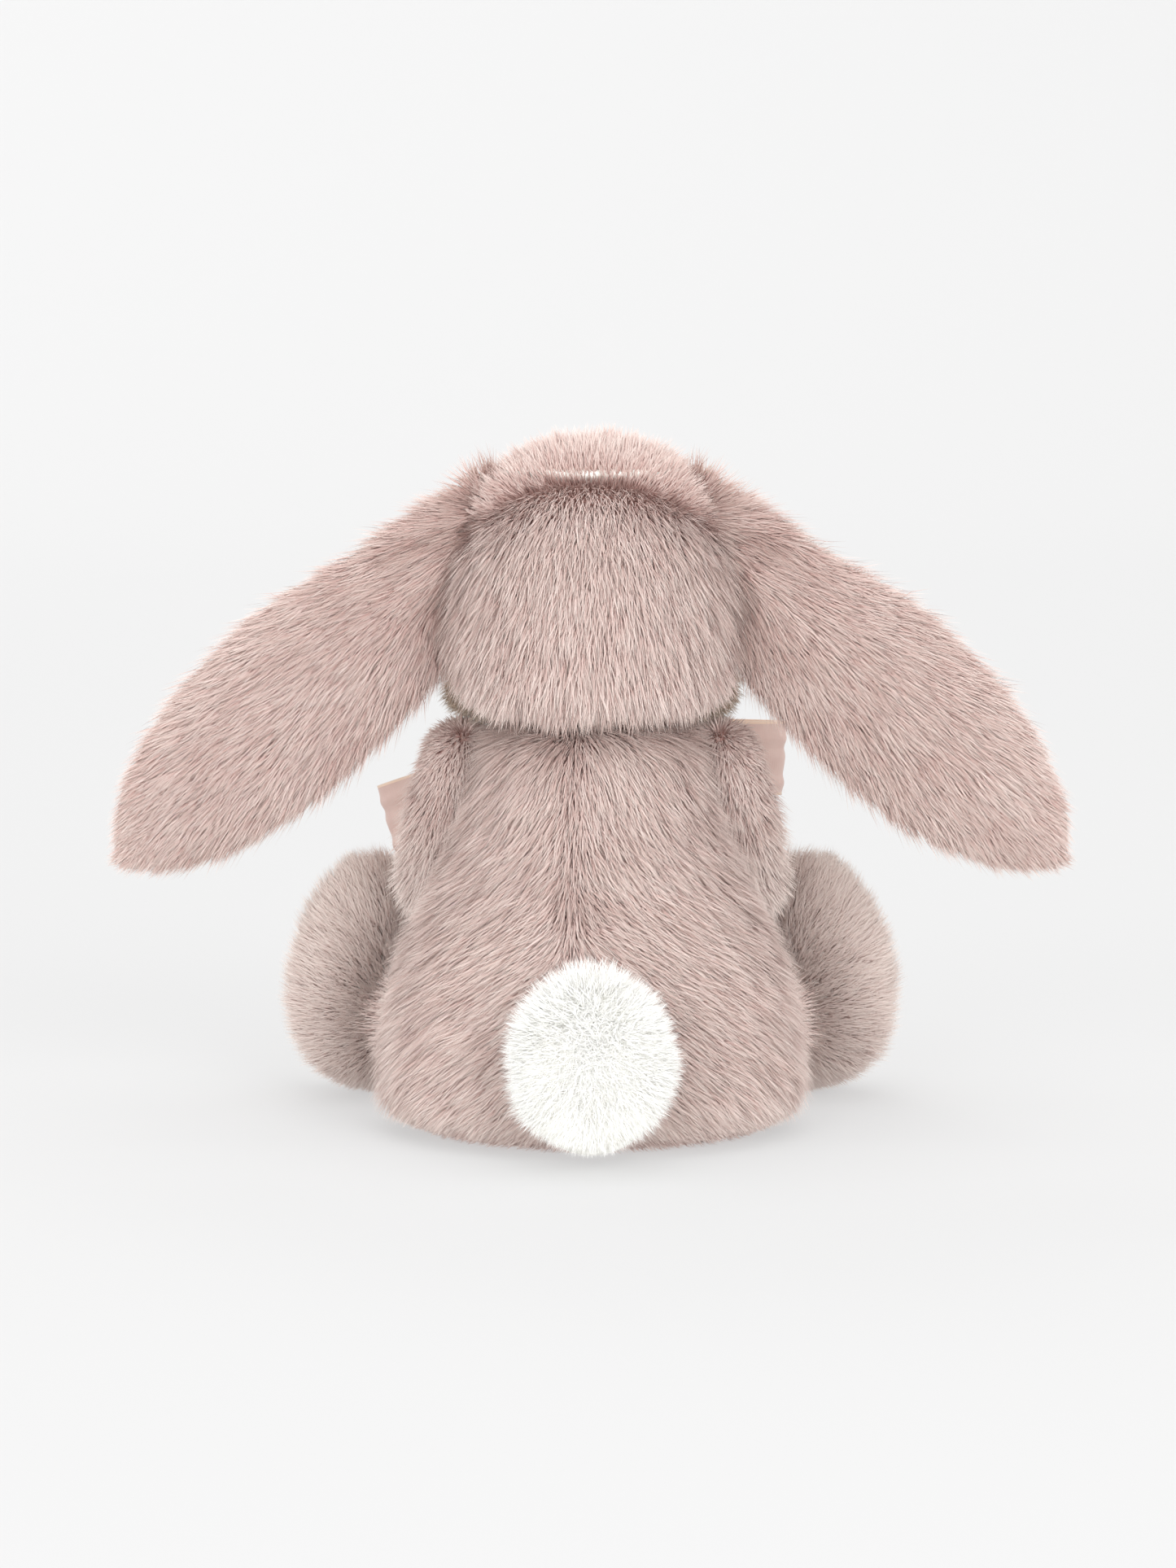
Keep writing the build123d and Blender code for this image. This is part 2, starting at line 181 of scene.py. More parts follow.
class Wire:
    """A shader socket that does arithmetic."""

    def __init__(self, tree: bpy.types.NodeTree, socket: Any) -> None:
        """Keep the tree and the socket."""
        self.tree = tree
        self.socket = socket

    def _math(self, operation: str, first: Any, second: Any = None) -> "Wire":
        """Add one Math node and return its result."""
        node = self.tree.nodes.new("ShaderNodeMath")
        node.operation = operation
        for place, value in enumerate((first, second)):
            if isinstance(value, Wire):
                self.tree.links.new(value.socket, node.inputs[place])
            elif value is not None:
                node.inputs[place].default_value = value
        return Wire(self.tree, node.outputs[0])

    def __add__(self, other: Any) -> "Wire":
        """Sum."""
        return self._math("ADD", self, other)

    def __radd__(self, other: Any) -> "Wire":
        """Sum, reflected."""
        return self._math("ADD", other, self)

    def __sub__(self, other: Any) -> "Wire":
        """Difference."""
        return self._math("SUBTRACT", self, other)

    def __rsub__(self, other: Any) -> "Wire":
        """Difference, reflected."""
        return self._math("SUBTRACT", other, self)

    def __mul__(self, other: Any) -> "Wire":
        """Product."""
        return self._math("MULTIPLY", self, other)

    def __rmul__(self, other: Any) -> "Wire":
        """Product, reflected."""
        return self._math("MULTIPLY", other, self)

    def __gt__(self, other: Any) -> "Wire":
        """1 where greater."""
        return self._math("GREATER_THAN", self, other)

    def sine(self) -> "Wire":
        """Sine of radians."""
        return self._math("SINE", self)

    def absolute(self) -> "Wire":
        """Size without sign."""
        return self._math("ABSOLUTE", self)


class Paint:
    """One material being built around a Principled shader."""

    def __init__(self, name: str) -> None:
        """Start an empty material with its shader and output."""
        self.material = bpy.data.materials.new(name)
        self.material.use_nodes = True
        self.tree = self.material.node_tree
        self.tree.nodes.clear()
        self.shader = self.tree.nodes.new("ShaderNodeBsdfPrincipled")
        output = self.tree.nodes.new("ShaderNodeOutputMaterial")
        self.tree.links.new(self.shader.outputs[0], output.inputs[0])

    def node(self, kind: str, settings: dict[str, Any] | None = None,
             sockets: dict[Any, Any] | None = None) -> bpy.types.Node:
        """Add a node.

        Args:
            kind: The node's type name.
            settings: Properties, set first; "stops" fills a colour ramp.
            sockets: Input values or wires, by name or number.

        Returns:
            The node.
        """
        node = self.tree.nodes.new(kind)
        for key, value in (settings or {}).items():
            if key == "stops":
                self._stops(node, value)
            else:
                setattr(node, key, value)
        for key, value in (sockets or {}).items():
            self._set(node.inputs[key], value)
        return node

    def _stops(self, node: bpy.types.Node, stops: Sequence[tuple[float, Colour]]) -> None:
        """Fill a colour ramp."""
        elements = node.color_ramp.elements
        while len(elements) < len(stops):
            elements.new(0.5)
        for element, (place, colour) in zip(elements, stops):
            element.position = place
            element.color = (*colour, 1.0)

    def _set(self, socket: Any, value: Any) -> None:
        """Give a socket a wire or a constant."""
        if isinstance(value, Wire):
            self.tree.links.new(value.socket, socket)
        elif socket.type == "RGBA" and len(value) == 3:
            socket.default_value = (*value, 1.0)
        else:
            socket.default_value = value

    def wire(self, node: bpy.types.Node, output: Any = 0) -> Wire:
        """One output of a node, ready for arithmetic."""
        return Wire(self.tree, node.outputs[output])

    def set(self, **sockets: Any) -> None:
        """Set the Principled shader's sockets, with _ for a space in a name."""
        for name, value in sockets.items():
            self._set(self.shader.inputs[name.replace("_", " ")], value)

    def ramp(self, value: Wire, stops: Sequence[tuple[float, Colour]]) -> Wire:
        """Turn a value into a colour."""
        return self.wire(self.node("ShaderNodeValToRGB", {"stops": stops}, {"Fac": value}))

    def mix(self, share: Any, first: Any, second: Any) -> Wire:
        """Blend two colours."""
        node = self.node("ShaderNodeMix", {"data_type": "RGBA"}, {0: share, 6: first, 7: second})
        return self.wire(node, 2)

    def noise(self, size: float, detail: float = 2.0, at: Wire | None = None) -> Wire:
        """Cloudy noise on the object's own coordinates, swells about size metres apart."""
        place = at or self.wire(self.node("ShaderNodeTexCoord"), "Object")
        return self.wire(self.node("ShaderNodeTexNoise", None, {
            "Vector": place, "Scale": 1.0 / size, "Detail": detail}), 0)

    def bump(self, height: Wire, depth: float, strength: float = 0.6) -> None:
        """Raise the surface by a height value."""
        node = self.node("ShaderNodeBump", None, {"Height": height, "Distance": depth, "Strength": strength})
        self.set(Normal=self.wire(node))


# ------------------------------------------------------------------ finishes


@dataclass(frozen=True)
class FurFinish:
    """Dyed plush fibre, darker at the root than at its tipped end; its shadow colour is painted shade deep
    in the pile.
    """

    name: str
    root: Colour
    middle: Colour
    tip: Colour
    shadow: Colour
    dim: Colour
    sheen: float = 0.10
    roughness: float = 0.72

    def material(self) -> bpy.types.Material:
        """Colour runs root to tip along the map; the tint across it darkens some strands at random, more
        where the skin carries painted shade and fewer where it carries painted light.
        """
        paint = Paint(self.name)
        place = paint.node("ShaderNodeUVMap", {"uv_map": FUR_UV})
        parts = paint.node("ShaderNodeSeparateXYZ", None, {0: paint.wire(place)})
        tint = paint.wire(parts, 0)
        along = paint.wire(parts, 1)
        light = paint.ramp(along, ((0.0, self.root), (0.45, self.middle), (0.9, self.tip)))
        # dark strands: painted shade at the root from the shadow colour, then the root and dim colours
        dark = paint.ramp(along, ((0.0, self.shadow), (0.55, self.root), (1.0, self.dim)))
        share = paint.ramp(tint, ((0.05, (1.0,) * 3), (0.6, (0.12,) * 3), (1.0, (0.0,) * 3)))
        paint.set(Base_Color=paint.mix(share, light, dark))
        paint.set(Roughness=self.roughness, Specular_IOR_Level=0.25)
        paint.set(Sheen_Weight=self.sheen, Sheen_Roughness=0.5, Sheen_Tint=(*self.tip, 1.0))
        return paint.material


@dataclass(frozen=True)
class BackingFinish:
    """Knitted backing cloth that carries the pile."""

    name: str
    colour: Colour
    dark: Colour
    stitch: float = 0.0007

    def material(self) -> bpy.types.Material:
        """Fine knit bump and a cloudy colour."""
        paint = Paint(self.name)
        cloud = paint.noise(0.006, 3.0)
        grain = paint.noise(self.stitch, 1.0)
        paint.set(Base_Color=paint.ramp(cloud * 0.6 + grain * 0.4, ((0.3, self.dark), (0.7, self.colour))))
        paint.set(Roughness=0.95, Specular_IOR_Level=0.1, Sheen_Weight=0.2)
        paint.bump(grain, 0.0003)
        return paint.material


@dataclass(frozen=True)
class SatinFinish:
    """Satin ribbon: fine warp, soft gloss, clouds of painted fold shade and a paler woven edge that is
    partly a painted highlight.
    """

    name: str
    face: Colour
    painted_fold_shade: Colour
    edge: Colour
    edge_share: float = 0.93

    def material(self) -> bpy.types.Material:
        """Warp lines across the width, cloudy gloss with clouds of painted fold shade, paler selvedge at
        both edges.
        """
        paint = Paint(self.name)
        place = paint.node("ShaderNodeUVMap", {"uv_map": CLOTH_UV})
        parts = paint.node("ShaderNodeSeparateXYZ", None, {0: paint.wire(place)})
        across = (paint.wire(parts, 0) - 0.5).absolute() * 2.0
        warp = (paint.wire(parts, 0) * 520.0).sine()
        weft = (paint.wire(parts, 1) * 9000.0).sine()
        cloud = paint.noise(0.004, 2.0)
        # painted shade: cloud noise mixes the darker fold colour into the face colour
        body = paint.mix(cloud, self.painted_fold_shade, self.face)
        # the paler selvedge colour is partly a painted highlight along both edges
        paint.set(Base_Color=paint.mix(across > self.edge_share, body, self.edge))
        paint.set(Roughness=0.30 + cloud * 0.16, Specular_IOR_Level=0.5, Sheen_Weight=0.3)
        paint.bump(warp * 0.5 + weft * 0.3, 0.00004, 0.5)
        return paint.material


@dataclass(frozen=True)
class ThreadFinish:
    """Embroidery floss: satin stitches side by side."""

    name: str
    colour: Colour
    dark: Colour

    def material(self) -> bpy.types.Material:
        """Parallel threads with a dark line between them, painted shade in the grooves."""
        paint = Paint(self.name)
        place = paint.node("ShaderNodeTexCoord")
        parts = paint.node("ShaderNodeSeparateXYZ", None, {0: paint.wire(place, "Object")})
        strands = (paint.wire(parts, 0) * (2 * math.pi / 0.0006)).sine() * 0.5 + 0.5
        # the dark colour between strands is painted shade in the grooves
        paint.set(Base_Color=paint.ramp(strands, ((0.0, self.dark), (0.6, self.colour))))
        paint.set(Roughness=0.45, Specular_IOR_Level=0.4, Sheen_Weight=0.3)
        paint.bump(strands, 0.00015, 0.8)
        return paint.material


@dataclass(frozen=True)
class MouldedFinish:
    """Moulded plastic or loose filling, with a faint grain."""

    name: str
    colour: Colour
    dark: Colour
    roughness: float
    grain: float
    depth: float
    coat: float = 0.0

    def material(self) -> bpy.types.Material:
        """Cloudy colour, uneven gloss and a small grain."""
        paint = Paint(self.name)
        grain = paint.noise(self.grain, 2.0)
        paint.set(Base_Color=paint.ramp(grain, ((0.35, self.dark), (0.65, self.colour))))
        paint.set(Roughness=self.roughness + grain * 0.08, Coat_Weight=self.coat)
        paint.bump(grain, self.depth, 0.4)
        return paint.material


class Slot(Enum):
    """Material slots of the record."""

    ROSE = "fur_rose"
    CREAM = "fur_cream"
    WHITE = "fur_white"
    STUFFING = "stuffing_white"
    POUCH = "pouch_cotton"
    BEAN = "bean_plastic"
    RIBBON = "satin_ribbon"
    THREAD = "thread_rose"
    EYE = "eye_gloss"
    WASHER = "washer_plastic"
    SOLE = "sole_velour"


class Wardrobe:
    """Every finish of the toy, built once."""

    def __init__(self) -> None:
        """Build the materials."""
        self.rose = FurFinish("rose_fur", linear(190, 157, 150), linear(216, 195, 189),
                              linear(233, 222, 215), linear(156, 116, 107),
                              linear(205, 182, 173)).material()
        self.cream = FurFinish("cream_fur", linear(206, 180, 164), linear(232, 218, 202),
                               linear(243, 235, 222), linear(186, 156, 140),
                               linear(226, 210, 194)).material()
        self.white = FurFinish("white_fur", linear(250, 249, 245), linear(254, 254, 252),
                               linear(255, 255, 254), linear(246, 243, 236),
                               linear(252, 251, 247)).material()
        self.rose_backing = BackingFinish(
            "rose_backing", linear(196, 158, 150), linear(168, 128, 120)).material()
        self.cream_backing = BackingFinish(
            "cream_backing", linear(216, 194, 178), linear(190, 164, 148)).material()
        self.white_backing = BackingFinish(
            "white_backing", linear(252, 251, 248), linear(244, 242, 236)).material()
        self.sole = BackingFinish(
            "sole_velour", linear(222, 194, 184), linear(206, 172, 162), 0.0005).material()
        self.satin = SatinFinish("blush_satin", linear(240, 212, 202), linear(226, 190, 180),
                                 linear(252, 222, 200)).material()
        self.thread = ThreadFinish("nose_floss", linear(196, 132, 130), linear(150, 88, 88)).material()
        self.eye = MouldedFinish("eye_gloss", linear(34, 24, 22), linear(22, 14, 13), 0.06, 0.004,
                                 0.00002, 0.6).material()
        self.washer = MouldedFinish("washer", linear(228, 228, 222), linear(214, 214, 208), 0.4, 0.002,
                                    0.0001).material()
        self.stuffing = MouldedFinish("stuffing", linear(244, 243, 238), linear(220, 218, 210), 0.9, 0.003,
                                      0.0012).material()
        self.pouch = MouldedFinish("pouch_cotton", linear(226, 218, 200),
                                   linear(204, 196, 178), 0.85, 0.0008,
                                   0.0003).material()
        self.bean = MouldedFinish("beans", linear(232, 232, 226), linear(186, 186, 180), 0.4, 0.0025,
                                  0.0010).material()


# ------------------------------------------------------------------ skins


@dataclass
class Skin:
    """A sewn cover without its pile: points, faces and how the fur lies on it."""

    points: Array
    faces: list[tuple[int, ...]]
    comb: Array = field(init=False)
    pile: Array = field(init=False)
    cover: Array = field(init=False)
    shade: Array = field(init=False)
    outward: Array = field(init=False)

    def __post_init__(self) -> None:
        """Work out the outward directions and start with a plain coat."""
        count = len(self.points)
        self.outward = self._normals()
        self.comb = np.zeros((count, 3))
        self.pile = np.ones(count)
        self.cover = np.ones(count)
        self.shade = np.full(count, 0.5)

    def _normals(self) -> Array:
        """Area-weighted directions at the points."""
        total = np.zeros_like(self.points)
        for face in self.faces:
            corner = self.points[list(face)]
            normal = np.cross(corner[1] - corner[0], corner[2] - corner[0])
            if len(face) == 4:
                normal = normal + np.cross(corner[2] - corner[0], corner[3] - corner[0])
            for index in face:
                total[index] += normal
        return unit(total)

    def lay(self, way: Array, flat: Array | float) -> None:
        """Comb the pile.

        Args:
            way: Rough direction at each point; its part along the skin is used.
            flat: 0 stands straight up, 1 lies down.
        """
        along = way - self.outward * np.sum(way * self.outward, axis=1, keepdims=True)
        self.comb = unit(along) * np.reshape(np.broadcast_to(flat, len(self.points)), (-1, 1))

    def mesh(self, name: str) -> bpy.types.Object:
        """Make the skin a Blender object that carries its coat as attributes."""
        data = bpy.data.meshes.new(name)
        data.from_pydata(self.points.tolist(), [], self.faces)
        for key, values in ((COMB, self.comb), (OUTWARD, self.outward)):
            layer = data.attributes.new(key, "FLOAT_VECTOR", "POINT")
            layer.data.foreach_set("vector", values.astype(np.float32).ravel())
        for key, values in ((PILE, self.pile), (COVER, self.cover), (PAINTED_LIGHT_AND_TONE, self.shade)):
            layer = data.attributes.new(key, "FLOAT", "POINT")
            layer.data.foreach_set("value", values.astype(np.float32))
        data.shade_smooth()
        skin = bpy.data.objects.new(name, data)
        bpy.context.scene.collection.objects.link(skin)
        return skin


def wrapped(rings: Array) -> Skin:
    """A closed form from rings of points; the first and last ring close to a point.

    Args:
        rings: Points as ring, place round the ring, coordinate. Rings run so that faces look out.

    Returns:
        The skin.
    """
    count, around = rings.shape[:2]
    first = rings[0].mean(axis=0)
    last = rings[-1].mean(axis=0)
    points = np.vstack([first[None], rings[1:-1].reshape(-1, 3), last[None]])
    final = len(points) - 1
    faces: list[tuple[int, ...]] = []
    for step in range(around):
        after = (step + 1) % around
        faces.append((0, 1 + step, 1 + after))
        base = 1 + (count - 3) * around
        faces.append((base + after, base + step, final))
        for ring in range(count - 3):
            low = 1 + ring * around
            high = low + around
            faces.append((low + step, high + step, high + after, low + after))
    return facing_out(points, faces)


def lathe_profile(outline: Sequence[tuple[float, float]], count: int, radius: float, low: float,
                  high: float) -> Array:
    """A smooth lathe profile from a few shares.

    Args:
        outline: Radius and height of each point, as shares.
        count: Points on the finished profile.
        radius: What a radius share of 1 means.
        low: Where height share 0 lies.
        high: Where height share 1 lies.

    Returns:
        Radius and height of each ring.
    """
    curve = through(outline, count)
    out = np.maximum(curve[:, 0], 0) * radius
    out[0] = out[-1] = 0.0
    return np.stack([out, low + curve[:, 1] * (high - low)], axis=1)


def facing_out(points: Array, faces: list[tuple[int, ...]]) -> Skin:
    """A closed skin with its faces turned outwards."""
    skin = Skin(points, faces)
    if np.sum(skin.outward * (points - points.mean(axis=0))) < 0:
        skin = Skin(points, [face[::-1] for face in faces])
    return skin


def turned(profile: Array, around: int, depth: float = 1.0, middle: Sequence[float] = (0, 0)) -> Skin:
    """A form turned about an upright axis.

    Args:
        profile: Radius and height of each ring, from one end to the other.
        around: Points round each ring.
        depth: Front-to-back size as a share of the width.
        middle: Where the axis stands.

    Returns:
        The skin.
    """
    angle = np.linspace(0, 2 * math.pi, around, endpoint=False)
    rings = np.zeros((len(profile), around, 3))
    rings[..., 0] = middle[0] + profile[:, :1] * np.cos(angle)
    rings[..., 1] = middle[1] + profile[:, :1] * np.sin(angle) * depth
    rings[..., 2] = profile[:, 1:2]
    return wrapped(rings)


def ball(radii: Sequence[float], around: int = 40) -> Skin:
    """An ellipsoid about the origin."""
    lift = np.linspace(-math.pi / 2, math.pi / 2, around // 2 + 1)
    profile = np.stack([np.cos(lift), np.sin(lift)], axis=1)
    skin = turned(profile, around)
    skin.points = skin.points * np.array(radii)
    skin.outward = unit(skin.outward / np.array(radii))
    return skin


# ------------------------------------------------------------------ fur


@dataclass(frozen=True)
class FurCoat:
    """How one panel's pile grows."""

    length: float
    width: float
    blades: int
    stray: float = 0.25
    clump: float = 0.40
    clump_size: float = 0.0014
    seed: int = 1

    def grow(self, skin: bpy.types.Object, name: str, material: bpy.types.Material) -> bpy.types.Object:
        """Grow the pile on a skin.

        Args:
            skin: Object that carries the coat attributes.
            name: Name of the finished fur.
            material: Its finish.

        Returns:
            The fur as one plain mesh at the origin.
        """
        area = self._covered(skin)
        tree = self._tree(material)
        carrier = bpy.data.objects.new(name + "_carrier", skin.data)
        bpy.context.scene.collection.objects.link(carrier)
        modifier = carrier.modifiers.new("pile", "NODES")
        modifier.node_group = tree
        values = {"Density": self.blades / area, "Length": self.length, "Width": self.width,
                  "Stray": self.stray, "Clump": self.clump, "Clump Size": self.clump_size,
                  "Seed": self.seed}
        for item in tree.interface.items_tree:
            if item.name in values and item.in_out == "INPUT":
                modifier[item.identifier] = values[item.name]
        graph = bpy.context.evaluated_depsgraph_get()
        data = bpy.data.meshes.new_from_object(carrier.evaluated_get(graph))
        data.name = name
        bpy.data.objects.remove(carrier)
        bpy.data.node_groups.remove(tree)
        extra = (COMB, PILE, COVER, PAINTED_LIGHT_AND_TONE, OUTWARD, "tint")
        for spare in [a.name for a in data.attributes if a.name in extra]:
            data.attributes.remove(data.attributes[spare])
        fur = bpy.data.objects.new(name, data)
        bpy.context.scene.collection.objects.link(fur)
        return fur

    def _covered(self, skin: bpy.types.Object) -> float:
        """Area of the skin, weighed by how thickly it is covered."""
        mesh = skin.data
        cover = np.zeros(len(mesh.vertices), np.float32)
        mesh.attributes[COVER].data.foreach_get("value", cover)
        return sum(face.area * float(cover[list(face.vertices)].mean()) for face in mesh.polygons)

    def _tree(self, material: bpy.types.Material) -> bpy.types.NodeTree:
        """Node tree that scatters, combs and joins the blades."""
        tree = bpy.data.node_groups.new("pile", "GeometryNodeTree")
        face = tree.interface
        face.new_socket("Skin", in_out="INPUT", socket_type="NodeSocketGeometry")
        for socket in ("Density", "Length", "Width", "Stray", "Clump", "Clump Size"):
            face.new_socket(socket, in_out="INPUT", socket_type="NodeSocketFloat")
        face.new_socket("Seed", in_out="INPUT", socket_type="NodeSocketInt")
        face.new_socket("Fur", in_out="OUTPUT", socket_type="NodeSocketGeometry")
        given = tree.nodes.new("NodeGroupInput")
        result = tree.nodes.new("NodeGroupOutput")

        def add(kind: str, settings: dict[str, Any] | None = None,
                sockets: dict[Any, Any] | None = None) -> bpy.types.Node:
            """Add a node with its settings, then its values or links."""
            node = tree.nodes.new(kind)
            for key, value in (settings or {}).items():
                setattr(node, key, value)
            for key, value in (sockets or {}).items():
                if isinstance(value, bpy.types.NodeSocket):
                    tree.links.new(value, node.inputs[key])
                else:
                    node.inputs[key].default_value = value
            return node

        def number(operation: str, first: Any, second: Any = 0.0) -> Any:
            """One Math node."""
            return add("ShaderNodeMath", {"operation": operation}, {0: first, 1: second}).outputs[0]

        def vector(operation: str, first: Any, second: Any = (0.0, 0.0, 0.0)) -> Any:
            """One Vector Math node."""
            node = add("ShaderNodeVectorMath", {"operation": operation}, {0: first, 1: second})
            return node.outputs[1 if operation in ("DOT_PRODUCT", "LENGTH") else 0]

        def scaled(value: Any, by: Any) -> Any:
            """A vector made longer or shorter."""
            return add("ShaderNodeVectorMath", {"operation": "SCALE"}, {0: value, "Scale": by}).outputs[0]

        def named(key: str, kind: str) -> Any:
            """A named attribute of the skin."""
            return add("GeometryNodeInputNamedAttribute", {"data_type": kind}, {"Name": key}).outputs[0]

        def chance(low: float, high: float, offset: int) -> Any:
            """A random value for each blade, with its own seed."""
            seed = number("ADD", given.outputs["Seed"], offset)
            node = add("FunctionNodeRandomValue", {"data_type": "FLOAT"}, {2: low, 3: high, "Seed": seed})
            return node.outputs[1]

        density = number("MULTIPLY", given.outputs["Density"], named(COVER, "FLOAT"))
        roots = add("GeometryNodeDistributePointsOnFaces", {"distribute_method": "RANDOM"}, {
            "Mesh": given.outputs["Skin"], "Density": density, "Seed": given.outputs["Seed"]})
        place = add("GeometryNodeInputPosition").outputs[0]
        up = vector("NORMALIZE", named(OUTWARD, "FLOAT_VECTOR"))
        patch = add("ShaderNodeTexNoise", None, {"Vector": place, "Scale": 140.0, "Detail": 2.0}).outputs[0]
        pile = number("MULTIPLY", named(PILE, "FLOAT"), chance(0.62, 1.08, 11))
        length = number("MULTIPLY", given.outputs["Length"], pile)
        rough = add("ShaderNodeCombineXYZ", None, {
            0: chance(-1.0, 1.0, 21), 1: chance(-1.0, 1.0, 22), 2: chance(-1.0, 1.0, 23)}).outputs[0]
        wander = add("ShaderNodeTexNoise", None, {"Vector": place, "Scale": 190.0, "Detail": 1.0}).outputs[1]
        swirl = scaled(vector("SUBTRACT", wander, (0.5, 0.5, 0.5)), number("MULTIPLY", length, 0.6))
        cell = add("ShaderNodeTexVoronoi", {"feature": "F1"}, {
            "Vector": place, "Scale": number("DIVIDE", 1.0, given.outputs["Clump Size"])})
        gather = scaled(vector("SUBTRACT", cell.outputs["Position"], place), given.outputs["Clump"])
        lean = scaled(named(COMB, "FLOAT_VECTOR"), length)
        aim = vector("ADD", vector("ADD", lean, gather), vector("ADD", swirl, scaled(
            rough, number("MULTIPLY", length, given.outputs["Stray"]))))
        rise = scaled(up, vector("DOT_PRODUCT", aim, up))
        along = vector("SUBTRACT", aim, rise)
        reach = number("MINIMUM", vector("LENGTH", along), number("MULTIPLY", length, 0.97))
        height = number("SQRT", number("MAXIMUM", number("SUBTRACT", number("POWER", length, 2.0),
                        number("POWER", reach, 2.0)), number("POWER", number("MULTIPLY", length, 0.1), 2.0)))
        turn = add("FunctionNodeAxesToRotation", {"primary_axis": "Z", "secondary_axis": "X"}, {
            0: up, 1: along}).outputs[0]
        breadth = number("MULTIPLY", given.outputs["Width"], chance(0.6, 1.25, 31))
        size = add("ShaderNodeCombineXYZ", None, {0: reach, 1: breadth, 2: height}).outputs[0]
        # tint: random tone and noise patches, plus the skin's painted shade and painted light
        tint = number("ADD", number("MULTIPLY", chance(0.0, 1.0, 41), 0.5), number("ADD", number(
            "MULTIPLY", patch, 0.35), number("SUBTRACT", named(PAINTED_LIGHT_AND_TONE, "FLOAT"), 0.5)))
        tinted = add("GeometryNodeStoreNamedAttribute", {"data_type": "FLOAT", "domain": "POINT"}, {
            "Geometry": roots.outputs[0], "Name": "tint", "Value": tint})
        planted = add("GeometryNodeInstanceOnPoints", None, {
            "Points": tinted.outputs[0], "Instance": self._blade(add, number), "Rotation": turn,
            "Scale": size})
        loose = add("GeometryNodeRealizeInstances", None, {0: planted.outputs[0]})
        spot = add("ShaderNodeCombineXYZ", None, {0: named("tint", "FLOAT"), 1: named("along", "FLOAT")})
        mapped = add("GeometryNodeStoreNamedAttribute", {"data_type": "FLOAT2", "domain": "CORNER"}, {
            "Geometry": loose.outputs[0], "Name": FUR_UV, "Value": spot.outputs[0]})
        own = add("GeometryNodeInputNormal").outputs[0]
        across = scaled(named(OUTWARD, "FLOAT_VECTOR"), 0.75)
        soft = vector("NORMALIZE", vector("ADD", across, scaled(own, 0.6)))
        shaded = add("GeometryNodeSetMeshNormal", {"mode": "FREE", "domain": "POINT"}, {
            "Mesh": mapped.outputs[0], "Custom Normal": soft})
        dressed = add("GeometryNodeSetMaterial", None, {"Geometry": shaded.outputs[0], "Material": material})
        tree.links.new(dressed.outputs[0], result.inputs[0])
        return tree

    def _blade(self, add: Callable[..., bpy.types.Node], number: Callable[..., Any]) -> Any:
        """One fibre, bent from upright at its root to lying at its tip, tapering to a point.

        Args:
            add: Adds a node to the tree.
            number: Adds a Math node.

        Returns:
            The socket that gives the blade's mesh, one unit long each way.
        """
        strip = add("GeometryNodeMeshGrid", None, {
            "Size X": 1.0, "Size Y": 1.0, "Vertices X": 3, "Vertices Y": 2})
        spot = add("ShaderNodeSeparateXYZ", None, {0: add("GeometryNodeInputPosition").outputs[0]})
        share = number("ADD", spot.outputs[0], 0.5)
        held = add("GeometryNodeStoreNamedAttribute", {"data_type": "FLOAT", "domain": "POINT"}, {
            "Geometry": strip.outputs[0], "Name": "along", "Value": share})
        lean = number("POWER", share, 1.7)
        rise = number("POWER", share, 0.75)
        taper = number("SUBTRACT", 1.0, number("POWER", share, 1.6))
        width = number("MULTIPLY", spot.outputs[1], taper)
        bent = add("ShaderNodeCombineXYZ", None, {0: lean, 1: width, 2: rise}).outputs[0]
        moved = add("GeometryNodeSetPosition", None, {"Geometry": held.outputs[0], "Position": bent})
        joined = add("GeometryNodeMergeByDistance", None, {"Geometry": moved.outputs[0], "Distance": 0.001})
        return joined.outputs[0]


@dataclass
class Maker:
    """Shared wardrobe and the ways to finish a piece."""

    wardrobe: Wardrobe

    def settle(self, piece: bpy.types.Object, slot: Slot, material: bpy.types.Material | None,
               body: Body, replaces: Sequence[str] = ()) -> None:
        """Dress a piece and tie it to its body.

        Args:
            piece: The finished object.
            slot: Not used.
            material: Its finish, or None where it already has one.
            body: The body it rides, or two bodies and the stretch over which it bends.
            replaces: CAD nodes it stands for.
        """
        if material is not None:
            piece.data.materials.clear()
            piece.data.materials.append(material)
        if isinstance(body, str):
            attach(piece, body)
        else:
            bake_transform(piece, body[0], body[1], tuple(body[2]), tuple(body[3]))
        if replaces:
            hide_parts(*replaces)
        log.info("piece %s: %d faces", piece.name, len(piece.data.polygons))

    def coat(self, skin: Skin, coat: FurCoat, name: str, slot: Slot, material: bpy.types.Material,
             body: Body, replaces: Sequence[str] = ()) -> None:
        """Grow the pile of one panel and tie it to its body.

        Args:
            skin: The skin, combed and with its cover set.
            coat: How the pile grows.
            name: Name of the finished fur.
            slot: Its slot in the record.
            material: Its finish.
            body: As for settle.
            replaces: CAD nodes it stands for.
        """
        carrier = skin.mesh(name + "_base")
        fur = coat.grow(carrier, name, material)
        bpy.data.objects.remove(carrier)
        self.settle(fur, slot, None, body, replaces)

    def backing(self, skin: Skin, name: str, fill: float, slot: Slot, material: bpy.types.Material,
                body: Body, replaces: Sequence[str] = ()) -> None:
        """Finish the cloth under the pile as its own piece.

        Args:
            skin: The skin.
            name: Name of the finished piece.
            fill: Not used.
            slot: Its slot in the record.
            material: Its finish.
            body: As for settle.
            replaces: CAD nodes it stands for.
        """
        under = skin.mesh(name)
        for key in (COMB, PILE, COVER, PAINTED_LIGHT_AND_TONE, OUTWARD):
            under.data.attributes.remove(under.data.attributes[key])
        self.settle(under, slot, material, body, replaces)


# ------------------------------------------------------------------ the rabbit


